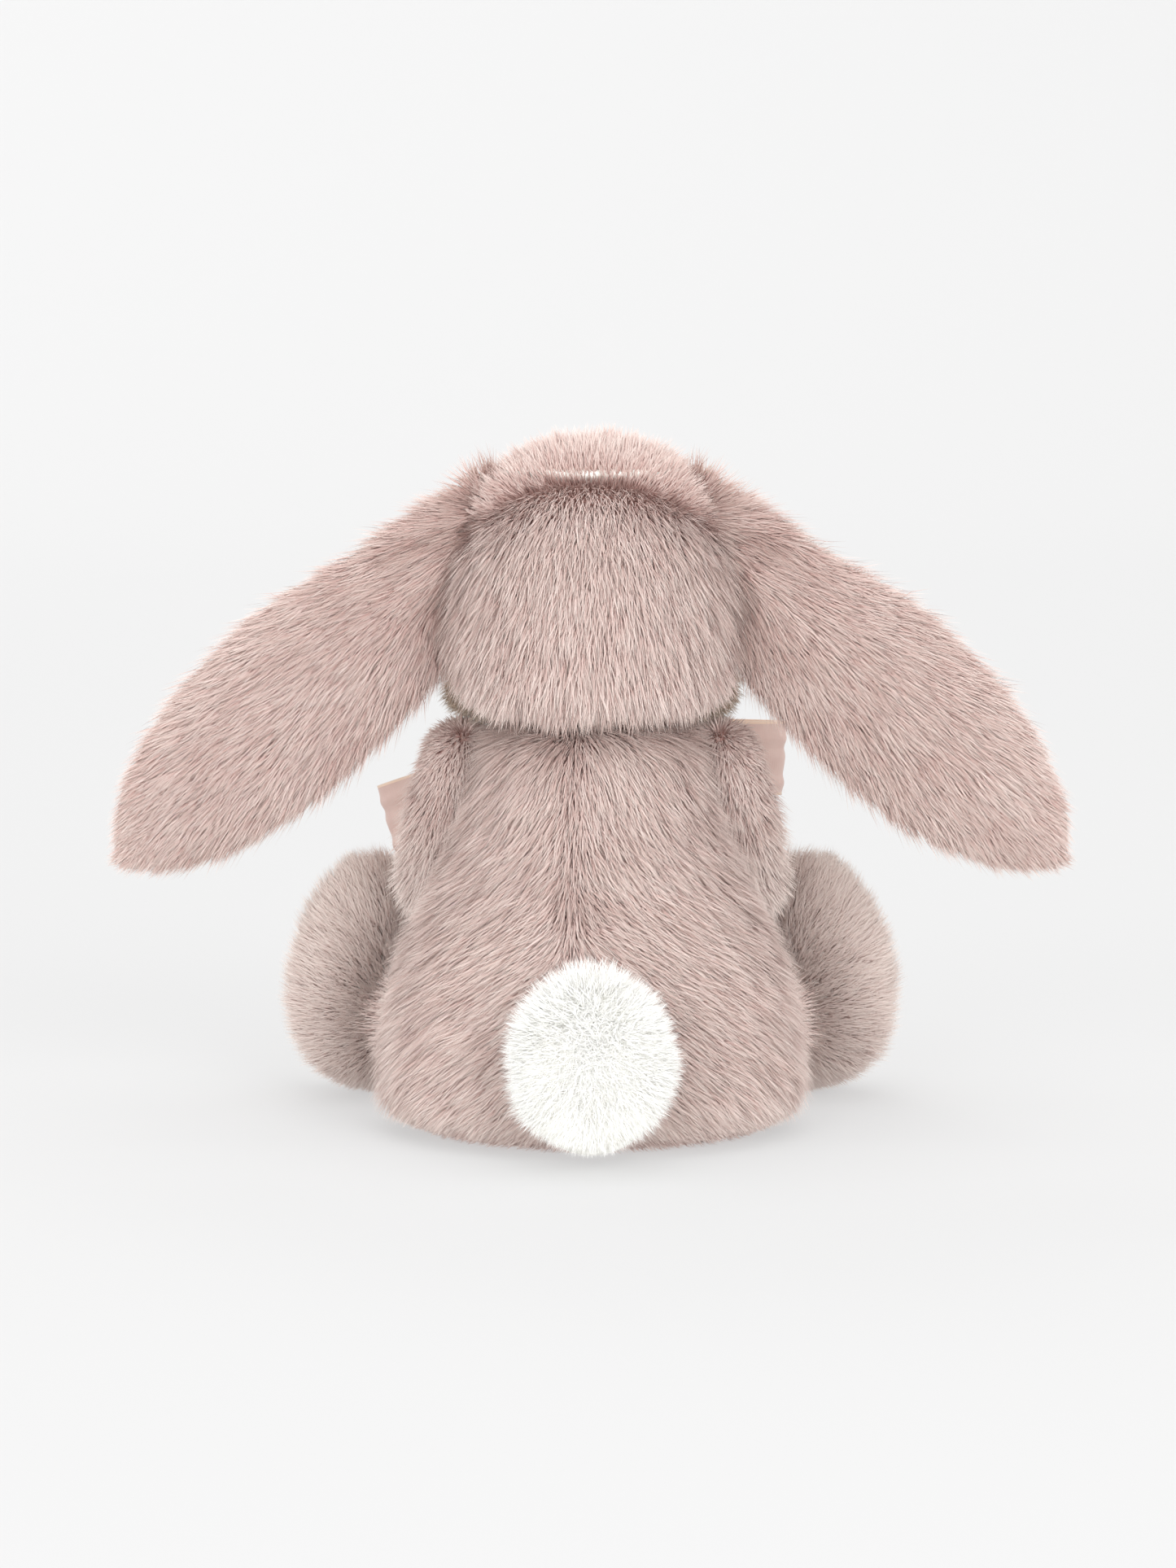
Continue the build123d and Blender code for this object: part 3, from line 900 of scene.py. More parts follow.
@dataclass
class Head(Maker):
    """Head: back and face panels that part at the crown seam, with the pile trimmed round the eyes."""

    inset: float = 1.6 * MM
    around: int = 96
    seam_back: float = 13 * MM
    seam_rise: float = 0.78
    seam_at: float = 139 * MM
    seam_band: float = 6.6 * MM
    chin_lift: float = 2.2 * MM
    swell: float = 0.5 * MM
    tuck: float = 0.9 * MM
    pile: float = 9.0 * MM
    strand: float = 0.29 * MM
    bare: Array | float = 1.0
    outline: tuple[tuple[float, float], ...] = (
        (0.0, 0.0), (0.42, 0.0), (0.76, 0.035), (0.95, 0.13), (1.02, 0.30), (1.01, 0.48),
        (0.94, 0.66), (0.76, 0.84), (0.55, 0.93), (0.28, 0.982), (0.0, 1.0))

    def build(self) -> None:
        """Make the head's skin and its fur."""
        box = Box.of("head_back_panel", "head_face_panel")
        low = box.low[2] + self.inset + self.chin_lift
        high = box.high[2] - self.inset
        profile = lathe_profile(self.outline, 52, box.size[0] / 2 - self.inset, low, high)
        skin = turned(profile, self.around, 1.0, box.middle[:2])
        seam = skin.points[:, 2] - (self.seam_at + (skin.points[:, 1] - self.seam_back) * self.seam_rise)
        tuck = np.exp(-(seam / (1.6 * MM)) ** 2) * ease(-8 * MM, 6 * MM, skin.points[:, 1])
        skin.points = skin.points - skin.outward * (tuck * self.tuck)[:, None]
        skin.points = skin.points + skin.outward * (wobble(skin.points, 30 * MM, 1.0) * self.swell)[:, None]
        self._comb(skin, seam)
        self._bare_eyes(skin)
        face = ease(-1.2 * MM, 1.2 * MM, seam)
        rose = self.wardrobe.rose
        for panel, cover, blades, seed in (("back", 1 - face, 56000, 3), ("face", face, 34000, 4)):
            skin.cover = cover * self.bare
            coat = FurCoat(self.pile, self.strand, blades, seed=seed)
            self.coat(skin, coat, f"head_{panel}_fur", Slot.ROSE, rose, "head", (f"head_{panel}_panel",))
        self.backing(skin, "head_skin", 0.8, Slot.ROSE, self.wardrobe.rose_backing, "head")

    def _comb(self, skin: Skin, seam: Array) -> None:
        """Fur falls down the back, and over the crown towards the face, with painted shade at the crown
        seam.
        """
        over = np.cross(np.array([1.0, 0.0, 0.0]), skin.outward)
        front = np.sign(seam)[:, None]
        side = skin.points[:, :1] / (30 * MM)
        way = over * front + np.array([0.0, 0.0, -0.45])
        way = way + np.concatenate([side * 0.3, 0 * side, 0 * side], axis=1) * (1 - np.maximum(front, 0))
        standing = np.exp(-(seam / self.seam_band) ** 2) * ease(-12 * MM, 0.0, skin.points[:, 1])
        crown = ease(0.0, 12 * MM, seam) * ease(-12 * MM, 10 * MM, skin.points[:, 1])
        skin.lay(way, 0.94 - 0.60 * standing - 0.10 * crown)
        skin.pile = 1.0 - 0.52 * standing - 0.22 * crown
        # painted shade: darker fur in the standing band at the crown seam, among the roots, and a little
        # over the crown
        skin.shade = 0.5 - 0.20 * standing - 0.02 * crown

    def _bare_eyes(self, skin: Skin) -> None:
        """Trim the pile short round the eyes, with none under them."""
        for word, side in SIDES.items():
            box = Box.of("eye_" + word)
            outer = box.high[0] if side > 0 else box.low[0]
            eye = np.array([outer - side * 4.8 * MM, box.low[1] + 3.5 * MM, box.middle[2]])
            away = skin.points - eye
            far = np.linalg.norm(away, axis=1)
            near = ease(16 * MM, 6 * MM, far)
            skin.pile = skin.pile * (1 - 0.72 * near)
            skin.comb = skin.comb * (1 - near)[:, None] + unit(away) * (0.8 * near)[:, None]
            self.bare = self.bare * ease(3.9 * MM, 4.8 * MM, far)


@dataclass
class Torso(Maker):
    """Torso: two back panels parted at the centre seam, and the belly."""

    inset: float = 0.4 * MM
    around: int = 112
    depth: float = 0.97
    seam_x: float = 4.5 * MM
    tuck: float = 0.4 * MM
    swell: float = 0.7 * MM
    pile: float = 9.5 * MM
    strand: float = 0.30 * MM
    outline: tuple[tuple[float, float], ...] = (
        (0.0, 0.0), (0.45, 0.0), (0.82, 0.004), (0.96, 0.045), (1.03, 0.16), (0.98, 0.32), (0.86, 0.50),
        (0.71, 0.66), (0.60, 0.80), (0.545, 0.92), (0.50, 1.0), (0.34, 1.045), (0.0, 1.05))

    def build(self) -> None:
        """Make the torso's skin and its three fur panels."""
        box = Box.of("belly_panel", "back_panel_left", "back_panel_right", "seat_panel")
        low = box.low[2] + self.inset
        profile = lathe_profile(self.outline, 64, box.size[0] / 2 - self.inset, low, box.high[2])
        top = low + self.outline[-1][1] * (box.high[2] - low)
        profile[:, 1] = profile[:, 1].clip(low, top)
        skin = turned(profile, self.around, self.depth, box.middle[:2])
        points = skin.points
        behind = ease(0.0, 14 * MM, points[:, 1])
        seam = np.exp(-((points[:, 0] - self.seam_x) / (1.5 * MM)) ** 2) * behind
        skin.points = points - skin.outward * (seam * self.tuck)[:, None]
        lumps = wobble(points, 34 * MM, 2.0) * ease(2 * MM, 14 * MM, points[:, 2])
        skin.points = skin.points + skin.outward * (lumps * self.swell)[:, None]
        skin.points[:, 2] = np.maximum(skin.points[:, 2], low)
        self._comb(skin, behind)
        back = ease(-2.5 * MM, 2.5 * MM, skin.points[:, 1])
        left = ease(-1.0 * MM, 1.0 * MM, skin.points[:, 0] - self.seam_x)
        clear = skin.cover
        for name, node, cover, blades, seed in (
                ("back_fur_left", "back_panel_left", back * left, 50000, 5),
                ("back_fur_right", "back_panel_right", back * (1 - left), 50000, 6),
                ("belly_fur", "belly_panel", 1 - back, 30000, 7)):
            skin.cover = cover * clear
            coat = FurCoat(self.pile, self.strand, blades, seed=seed)
            self.coat(skin, coat, name, Slot.ROSE, self.wardrobe.rose, "torso", (node,))
        self.backing(skin, "torso_skin", 0.75, Slot.ROSE, self.wardrobe.rose_backing, "torso",
                     ("seat_panel",))

    def _comb(self, skin: Skin, behind: Array) -> None:
        """Fur falls down and away from the centre back seam, more so lower down, with painted shade along
        the parting.
        """
        points = skin.points
        aside = np.tanh((points[:, 0] - self.seam_x) / (3 * MM))
        spread = 0.30 + 0.85 * ease(72 * MM, 30 * MM, points[:, 2])
        way = np.stack([aside * spread * behind + (1 - behind) * 0.2 * np.sign(points[:, 0]),
                        0.25 * (1 - behind) * -1.0, -np.ones(len(points))], axis=1)
        parting = np.exp(-((points[:, 0] - self.seam_x) / (2.2 * MM)) ** 2) * behind
        skin.lay(way, 0.93 - 0.10 * parting)
        floor = ease(1.5 * MM, 13 * MM, points[:, 2])
        skin.pile = 0.25 + 0.75 * floor
        skin.cover = ease(0.5 * MM, 2.5 * MM, points[:, 2])
        # painted shade: darker fur along the parting at the back seam; the wobble is random tone
        skin.shade = 0.5 - 0.05 * parting + 0.05 * wobble(points, 22 * MM, 3.0)


@dataclass
class Ear(Maker):
    """A lop ear: two layers sewn at the edge, pleated where it joins the head."""

    side: float = 1.0
    droop: float = 43.0
    pile: float = 8.5 * MM
    lining_pile: float = 6.0 * MM
    strand: float = 0.28 * MM
    thick: float = 2.6 * MM
    root_at: tuple[float, float] = (33.5 * MM, 127 * MM)
    upper: tuple[tuple[float, float], ...] = (
        (-22, 5), (-13, 6), (-1, 9), (16, 12), (35, 16), (54, 16), (68, 14), (80, 10.5), (90, 5.5),
        (96.5, -1.5))
    lower: tuple[tuple[float, float], ...] = (
        (-12, 2), (-4, -8), (6, -14.5), (18, -17.5), (36, -19), (54, -19), (68, -17), (80, -13.5),
        (90, -8.5),
        (96.5, -1.5))

    @property
    def word(self) -> str:
        """Side as a word."""
        return "left" if self.side > 0 else "right"

    def build(self) -> None:
        """Make the ear's skin, the fur behind and the shorter pile of the lining."""
        rings, around = 44, 48
        top = through([(a * MM, p * MM) for a, p in self.upper], rings)
        foot = through([(a * MM, p * MM) for a, p in self.lower], rings)
        angle = np.linspace(0, 2 * math.pi, around, endpoint=False)
        share = (np.cos(angle) + 1) / 2
        flat = top[:, None, :] * share[None, :, None] + foot[:, None, :] * (1 - share)[None, :, None]
        body = np.sin(np.linspace(0.35, math.pi * 0.97, rings)) ** 0.35
        lift = self.thick * np.sin(angle)[None, :] * body[:, None]
        middle = sewn_edge("ear_back_" + self.word, "ear_lining_" + self.word)
        self._place(flat, lift, middle)

    def _place(self, flat: Array, lift: Array, middle: float) -> None:
        """Bend the flat ear into space and coat it.

        Args:
            flat: Distance along and across the ear for each point.
            lift: Half thickness of the layers at each point.
            middle: Where the sewn edge lies, front to back.
        """
        tilt = math.radians(self.droop)
        along, across = flat[..., 0], flat[..., 1]
        x = self.root_at[0] + along * math.cos(tilt) + across * math.sin(tilt)
        z = self.root_at[1] - along * math.sin(tilt) + across * math.cos(tilt)
        fan = np.arctan2(across + 1 * MM, np.maximum(along + 14 * MM, 2 * MM))
        reach = np.hypot(along + 14 * MM, across)
        pleat = np.cos(fan * 9.0 + 0.9) * 1.5 * MM * (ease(46 * MM, 16 * MM, reach))
        swell = np.sin(along / (17 * MM) + 1.2 * self.side) * np.cos(across / (15 * MM)) * 0.9 * MM
        curl = -((across / (24 * MM)) ** 2) * 1.2 * MM - ease(60 * MM, 104 * MM, along) * 1.5 * MM
        y = middle + lift + pleat + swell * ease(10 * MM, 40 * MM, along) + curl
        skin = wrapped(np.stack([x * self.side, y, z], axis=-1))
        rear = skin.outward[:, 1] > -0.05
        start = np.array([self.side * 20 * MM, middle, 136 * MM])
        way = skin.points - start
        far = np.linalg.norm(way[:, [0, 2]], axis=1)
        skin.lay(way, 0.95)
        skin.pile = 1.0 - 0.35 * ease(85 * MM, 112 * MM, far)
        # painted shade: darker fur near the ear's root, where it meets the head; the wobble is random tone
        painted_root_shade = ease(50 * MM, 18 * MM, far)
        skin.shade = 0.42 - 0.12 * painted_root_shade + 0.05 * wobble(skin.points, 26 * MM, 4.0)
        seed = 11 if self.side > 0 else 12
        skin.cover = np.where(rear, 1.0, 0.0)
        coat = FurCoat(self.pile, self.strand, 46000, seed=seed)
        self.coat(skin, coat, "ear_fur_" + self.word, Slot.ROSE, self.wardrobe.rose, self._bend(),
                  ("ear_back_" + self.word,))
        skin.cover = np.where(rear, 0.0, 1.0)
        coat = FurCoat(self.lining_pile, self.strand, 24000, seed=seed)
        self.coat(skin, coat, "ear_lining_fur_" + self.word, Slot.CREAM, self.wardrobe.cream, self._bend(),
                  ("ear_lining_" + self.word,))
        self.backing(skin, "ear_skin_" + self.word, 0.3, Slot.ROSE, self.wardrobe.rose_backing, self._bend())

    def _bend(self) -> tuple[str, str, Array, Array]:
        """Where the ear stops following the head."""
        root = pivot(f"ear_{self.word}_lift")
        out = np.array([self.side, 0.0, 0.0])
        return ("head", "ear_" + self.word, root - out * 6 * MM, root + out * 7 * MM)


def sewn_edge(first: str, second: str) -> float:
    """Where two nodes lie on each other, front to back."""
    return (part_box(first)[0][1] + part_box(second)[1][1]) / 2


@dataclass
class Muzzle(Maker):
    """Cream muzzle panel with full cheeks."""

    inset: float = 1.6 * MM
    droop: float = 5.5 * MM
    depth_share: float = 46 / 62
    pile: float = 6.5 * MM

    def build(self) -> None:
        """Make the cheeks and their pile."""
        box = Box.of("muzzle_panel")
        half = box.size / 2 - self.inset
        depth = box.size[0] / 2 * self.depth_share
        skin = ball((half[0], depth - self.inset, half[2]), 64)
        side = skin.points[:, 0] / half[0]
        cleft = np.exp(-(side / 0.16) ** 2) * 2.2 * MM
        skin.points[:, 1] = skin.points[:, 1] + cleft * (skin.points[:, 1] < 0)
        skin.points[:, 2] = skin.points[:, 2] - self.droop * side ** 2
        skin.points = skin.points + np.array([0, box.low[1] + depth, box.middle[2]])
        skin = Skin(skin.points, skin.faces)
        nose = Box.of("nose").middle
        centre = np.array([0.0, nose[1] + 6 * MM, nose[2]])
        skin.lay(skin.points - centre, 0.72)
        near = np.linalg.norm(skin.points - nose, axis=1)
        skin.pile = 0.35 + 0.65 * ease(4 * MM, 22 * MM, near)
        skin.cover = ease(3.8 * MM, 4.8 * MM, near) * ease(-2 * MM, -8 * MM, skin.points[:, 1])
        coat = FurCoat(self.pile, 0.34 * MM, 32000, seed=21)
        self.coat(skin, coat, "muzzle_fur", Slot.CREAM, self.wardrobe.cream, "head", ("muzzle_panel",))
        self.backing(skin, "muzzle_skin", 0.7, Slot.CREAM, self.wardrobe.cream_backing, "head")


@dataclass
class Arm(Maker):
    """An arm that hangs forward, with a fuller paw."""

    side: float = 1.0
    shoulder_r: float = 7.8 * MM
    paw_r: float = 8.6 * MM
    pile: float = 8.5 * MM

    def build(self) -> None:
        """Make the arm's skin and fur."""
        word = "left" if self.side > 0 else "right"
        start = pivot(f"arm_{word}_lift") + np.array([self.side * 1.8 * MM, 0.0, 2.6 * MM])
        box = Box.of("arm_outer_panel_" + word, "arm_inner_panel_" + word)
        radius = box.high[2] - pivot(f"arm_{word}_lift")[2]
        end = np.array([box.high[0] - radius if self.side > 0 else box.low[0] + radius,
                        box.low[1] + radius, box.low[2] + radius])
        run = end - start
        length = float(np.linalg.norm(run))
        axis = run / length
        skin = limb(start, axis, length, self.shoulder_r, self.paw_r)
        far = (skin.points - start) @ axis / length
        along = np.tile(axis, (len(skin.points), 1))
        skin.lay(along + skin.outward * 0.2, 0.82 - 0.25 * ease(0.8, 1.25, far))
        skin.pile = 0.45 + 0.55 * ease(-0.1, 0.4, far)
        skin.shade = 0.48 + 0.30 * ease(0.2, 1.1, far)
        body = "arm_" + word
        nodes = ("arm_outer_panel_" + word, "arm_inner_panel_" + word)
        coat = FurCoat(self.pile, 0.36 * MM, 24000, seed=31)
        self.coat(skin, coat, "arm_fur_" + word, Slot.ROSE, self.wardrobe.rose, body, nodes)
        self.backing(skin, "arm_skin_" + word, 0.6, Slot.ROSE, self.wardrobe.rose_backing, body)


def limb(start: Array, axis: Array, length: float, first: float, last: float) -> Skin:
    """A round-ended limb that widens towards its end.

    Args:
        start: Centre of its first end.
        axis: Direction it runs.
        length: Distance between the centres of the ends.
        first: Radius at the start.
        last: Radius at the end.

    Returns:
        The skin.
    """
    aside = unit(np.cross(axis, np.array([0.0, 1.0, 0.0]))[None])[0]
    beside = np.cross(axis, aside)
    cap = np.linspace(0, math.pi / 2, 9)
    outline = [(-first * math.cos(c), first * math.sin(c)) for c in cap]
    outline += [(length * share, first + (last - first) * share) for share in np.linspace(0.1, 0.9, 12)]
    outline += [(length + last * math.sin(c), last * math.cos(c)) for c in cap]
    profile = np.array(outline)
    profile[0, 1] = profile[-1, 1] = 0.0
    angle = np.linspace(0, 2 * math.pi, 40, endpoint=False)
    round_it = np.cos(angle)[:, None] * aside + np.sin(angle)[:, None] * beside
    rings = start + profile[:, :1, None] * axis + profile[:, 1:, None] * round_it[None]
    return wrapped(rings)


@dataclass
class Leg(Maker):
    """A short leg with a big upright foot and a velour sole."""

    side: float = 1.0
    inset: float = 3.2 * MM
    pile: float = 8.0 * MM
    strand: float = 0.30 * MM

    def build(self) -> None:
        """Make thigh, foot and sole."""
        word = "left" if self.side > 0 else "right"
        hip = pivot(f"leg_{word}_swing")
        sole = Box.of("sole_panel_" + word)
        cover = Box.of("leg_cover_" + word)
        ahead = unit((sole.middle - hip)[None] * np.array([1.0, 1.0, 0.0]))[0]
        aside = np.cross(ahead, np.array([0.0, 0.0, 1.0]))
        height = cover.high[2] - cover.low[2]
        centre = np.array([sole.middle[0], sole.middle[1], cover.middle[2]]) - ahead * 15 * MM
        size = np.array([21 * MM - self.inset, height / 2 - self.inset / 2, 17 * MM - self.inset])
        form = ball((1.0, 1.0, 1.0), 72)
        local = form.points * size
        local[:, 2] = np.minimum(local[:, 2], (17 - 2.2) * MM)
        local[:, 0] = local[:, 0] * (1.0 - 0.10 * form.points[:, 1])
        upward = np.array([0.0, 0.0, 1.0])
        points = centre + local[:, :1] * aside + local[:, 1:2] * upward + local[:, 2:] * ahead
        points = points + unit(points - centre) * (wobble(points, 24 * MM, 6.0) * 0.5 * MM)[:, None]
        skin = facing_out(points, form.faces)
        front = (points - centre) @ ahead
        core = centre - aside * self.side * -6 * MM - np.array([0, 0, 1.0]) * 10 * MM - ahead * 14 * MM
        skin.lay(points - core, 0.62)
        skin.cover = ease(13.6 * MM, 12.2 * MM, front) * ease(0.2 * MM, 2.0 * MM, points[:, 2])
        skin.pile = 0.35 + 0.65 * ease(1.5 * MM, 12 * MM, points[:, 2])
        # painted light: the feet get the palest fur in place of the light falling on them; the wobble is
        # random tone
        skin.shade = 0.95 + 0.08 * wobble(points, 20 * MM, 7.0)
        body = "leg_" + word
        coat = FurCoat(self.pile, self.strand, 40000, seed=41)
        self.coat(skin, coat, "foot_fur_" + word, Slot.ROSE, self.wardrobe.rose, body,
                  ("leg_cover_" + word,))
        self.backing(skin, "foot_skin_" + word, 0.7, Slot.ROSE, self.wardrobe.rose_backing, body)
        self._thigh(hip, centre, ahead, word)
        self._sole(centre, aside, ahead, size, word)

    def _thigh(self, hip: Array, foot: Array, ahead: Array, word: str) -> None:
        """Short padded thigh between the torso and the foot."""
        run = np.array([foot[0], foot[1], hip[2]]) - hip
        length = float(np.linalg.norm(run))
        skin = limb(hip, run / length, length, 9.5 * MM, 9.5 * MM)
        skin.lay(np.tile(ahead, (len(skin.points), 1)), 0.75)
        skin.pile = 0.4 + 0.6 * ease(1 * MM, 12 * MM, skin.points[:, 2] - 5 * MM)
        body = "leg_" + word
        coat = FurCoat(self.pile, self.strand, 9000, seed=42)
        self.coat(skin, coat, "thigh_fur_" + word, Slot.ROSE, self.wardrobe.rose, body)
        self.backing(skin, "thigh_skin_" + word, 0.7, Slot.ROSE, self.wardrobe.rose_backing, body)

    def _sole(self, centre: Array, aside: Array, ahead: Array, size: Array, word: str) -> None:
        """Flat velour sole with short pile."""
        form = ball((1.0, 1.0, 1.0), 56)
        local = form.points * np.array([size[0] * 0.76, size[1] * 0.78, 1.6 * MM])
        points = centre + ahead * 14.6 * MM + local[:, :1] * aside + local[:, 2:] * ahead
        points = points + local[:, 1:2] * np.array([0.0, 0.0, 1.0])
        skin = facing_out(points, form.faces)
        skin.lay(np.tile(np.array([0.0, 0.0, -1.0]), (len(points), 1)), 0.55)
        skin.cover = ease(0.2, 0.6, skin.outward @ ahead)
        body = "leg_" + word
        coat = FurCoat(2.4 * MM, 0.26 * MM, 10000, seed=43)
        self.coat(skin, coat, "sole_pile_" + word, Slot.SOLE, self.wardrobe.cream, body,
                  ("sole_panel_" + word,))
        self.backing(skin, "sole_skin_" + word, 0.5, Slot.SOLE, self.wardrobe.sole, body)


@dataclass
class Tail(Maker):
    """White pompom tail, fibres standing out all round."""

    inset: float = 7.5 * MM
    pile: float = 9.0 * MM

    def build(self) -> None:
        """Make the pompom."""
        box = Box.of("tail_pompom")
        skin = ball(tuple(box.size / 2 - self.inset), 56)
        skin.points = skin.points + box.middle + np.array([0.0, 0.0, 1.2 * MM])
        skin.lay(np.tile(np.array([0.0, 0.0, -1.0]), (len(skin.points), 1)), 0.22)
        skin.pile = 0.90 + 0.12 * wobble(skin.points, 12 * MM, 8.0)
        skin.pile = skin.pile * (0.55 + 0.45 * ease(6 * MM, 14 * MM, skin.points[:, 2]))
        coat = FurCoat(self.pile, 0.28 * MM, 52000, stray=0.6, clump=0.8, clump_size=2.2 * MM, seed=51)
        self.coat(skin, coat, "tail_fur", Slot.WHITE, self.wardrobe.white, "tail", ("tail_pompom",))
        self.backing(skin, "tail_skin", 0.7, Slot.WHITE, self.wardrobe.white_backing, "tail")


@dataclass
class Bow(Maker):
    """Satin ribbon: band round the neck, knot, two loops and two tails."""

    width: float = 17 * MM
    thick: float = 0.45 * MM

    def strip(self, name: str, centre: Array, across: Array, ripple: Array,
              closed: bool) -> bpy.types.Object:
        """A ribbon along a line.

        Args:
            name: Name of the piece.
            centre: Points of its middle line.
            across: Half width vector at each point.
            ripple: Depth of the gathers at each point.
            closed: Whether its ends meet.

        Returns:
            The piece, with thickness.
        """
        steps = 29
        share = np.linspace(-1, 1, steps)
        run = np.gradient(centre, axis=0)
        normal = unit(np.cross(run, across))
        wave = np.cos(share * 3.2 * math.pi + 0.5) + 0.4 * np.sin(share * 5.1 * math.pi)
        points = (centre[:, None] + across[:, None] * share[None, :, None]
                  + normal[:, None] * (ripple[:, None] * wave[None])[..., None])
        count = len(centre)
        faces = []
        for row in range(count if closed else count - 1):
            after = (row + 1) % count
            for step in range(steps - 1):
                faces.append((row * steps + step, row * steps + step + 1,
                              after * steps + step + 1, after * steps + step))
        data = bpy.data.meshes.new(name)
        data.from_pydata(points.reshape(-1, 3).tolist(), [], faces)
        layer = data.uv_layers.new(name=CLOTH_UV)
        gone = np.concatenate([[0], np.cumsum(np.linalg.norm(np.diff(centre, axis=0), axis=1))])
        for face in data.polygons:
            for loop in face.loop_indices:
                vertex = data.loops[loop].vertex_index
                row = vertex // steps
                far = gone[row] if not (closed and row == 0 and face.index >= (count - 1) * (steps - 1)) \
                    else gone[-1] + np.linalg.norm(centre[0] - centre[-1])
                layer.data[loop].uv = ((share[vertex % steps] + 1) / 2, far)
        data.shade_smooth()
        piece = bpy.data.objects.new(name, data)
        bpy.context.scene.collection.objects.link(piece)
        solid = piece.modifiers.new("thickness", "SOLIDIFY")
        solid.thickness = self.thick
        solid.offset = 0.0
        return piece

    def build(self) -> None:
        """Tie the bow."""
        self._band()
        self._knot()
        for word, side in SIDES.items():
            self._loop(word, side)
            self._tail(word, side)

    def _finish(self, piece: bpy.types.Object, flat: tuple[float, float], held: str, body: str,
                node: str, rests: Sequence[str]) -> None:
        """Dress a ribbon piece and tie it to its body."""
        self.settle(piece, Slot.RIBBON, self.wardrobe.satin, body, (node,))

    def _band(self) -> None:
        """Gathered ribbon round the neck."""
        box = Box.of("ribbon_band")
        radius = box.size[0] / 2 + 1.2 * MM
        turn = np.linspace(0, 2 * math.pi, 96, endpoint=False)
        centre = np.stack([np.cos(turn) * radius, np.sin(turn) * radius,
                           np.full(96, box.middle[2] - 1 * MM)], axis=1)
        across = np.tile(np.array([0.0, 0.0, 3.4 * MM]), (96, 1))
        piece = self.strip("neck_ribbon", centre, across, 0.7 * MM + 0.25 * MM * np.sin(turn * 7), True)
        self._finish(piece, (self.width * 0.6, 2 * math.pi * radius), "gathered", "torso", "ribbon_band",
                     ("torso_skin",))

    def _knot(self) -> None:
        """Ribbon wrapped once round the middle of the bow."""
        box = Box.of("bow_knot")
        turn = np.linspace(0, 2 * math.pi, 48, endpoint=False)
        half = box.size / 2
        squeeze = np.sign(np.cos(turn)) * np.abs(np.cos(turn)) ** 0.8
        rise = np.sign(np.sin(turn)) * np.abs(np.sin(turn)) ** 0.8
        centre = np.stack([np.zeros(48), -squeeze * half[1], rise * half[2]], axis=1) + box.middle
        across = np.tile(np.array([half[0] * 0.92, 0.0, 0.0]), (48, 1))
        piece = self.strip("bow_knot_ribbon", centre, across, np.full(48, 0.55 * MM), True)
        self._finish(piece, (0.0135, 0.030), "folded", "bow", "bow_knot", ("neck_ribbon",))

    def _loop(self, word: str, side: float) -> None:
        """One loop, gathered at the knot and open at its end."""
        knot = Box.of("bow_knot").middle
        box = Box.of("bow_loop_" + word)
        end = box.high if side > 0 else box.low
        drop = 2 * (box.middle[2] - knot[2])
        out = np.array([end[0] - knot[0] + side * 1.5 * MM, 2 * (box.middle[1] - knot[1]), drop])
        out[2] = out[2] + (2.5 * MM if side < 0 else -1.5 * MM)
        reach = float(np.linalg.norm(out)) - (3.5 * MM if side < 0 else 0.0)
        way = out / np.linalg.norm(out)
        up = unit(np.array([[0.0, 0.0, 1.0]]) - way[2] * way[None])[0]
        open_way = np.cross(way, up)
        turn = np.linspace(0, 2 * math.pi, 72)
        along = (1 - np.cos(turn)) / 2
        open_at = np.sin(turn) * 3.6 * MM * np.sin(along * math.pi * 0.5) ** 0.8
        centre = knot + way * (along * reach)[:, None] + open_way * open_at[:, None]
        half = self.width / 2 * (0.36 + 0.64 * ease(0.02, 0.45, along))
        piece = self.strip("bow_loop_ribbon_" + word, centre, up * half[:, None],
                           1.1 * MM * ease(0.6, 0.05, along) + 0.18 * MM, False)
        self._finish(piece, (self.width, 2 * reach), "folded", "bow", "bow_loop_" + word,
                     ("bow_knot_ribbon",))

    def _tail(self, word: str, side: float) -> None:
        """One hanging end, cut to a notch."""
        knot = Box.of("bow_knot")
        box = Box.of("ribbon_tail_" + word)
        aside = box.low[0] + 7 * MM if side < 0 else box.high[0] - 7 * MM
        foot = np.array([aside, box.low[1] + 1 * MM, box.low[2]])
        top = knot.middle + np.array([side * 2.5 * MM, -1.0 * MM, -2 * MM])
        bend = (top + foot) / 2 + np.array([side * 3 * MM, -2.0 * MM, 3 * MM])
        centre = through((top, bend, foot), 40)
        run = unit(np.gradient(centre, axis=0))
        face = np.array([0.0, -1.0, -0.35])
        across = unit(np.cross(run, face))
        share = np.linspace(0, 1, 40)
        half = self.width * 0.42 * (0.45 + 0.55 * ease(0.0, 0.4, share))
        piece = self.strip("ribbon_end_" + word, centre, across * half[:, None],
                           0.7 * MM * (1 - share) + 0.15 * MM, False)
        self._notch(piece, run[-1])
        long = float(np.linalg.norm(np.diff(centre, axis=0), axis=1).sum())
        self._finish(piece, (self.width * 0.84, long), "hung", "bow", "ribbon_tail_" + word,
                     ("bow_knot_ribbon",))

    def _notch(self, piece: bpy.types.Object, run: Array) -> None:
        """Pull the middle of the last rows up into a V."""
        steps = 29
        data = piece.data
        count = len(data.vertices) // steps
        for row in range(count - 6, count):
            for step in range(steps):
                depth = 6 * MM * (1 - abs(step / (steps - 1) * 2 - 1)) * ((row - count + 7) / 6)
                vertex = data.vertices[row * steps + step]
                vertex.co = vertex.co - type(vertex.co)(run * depth)


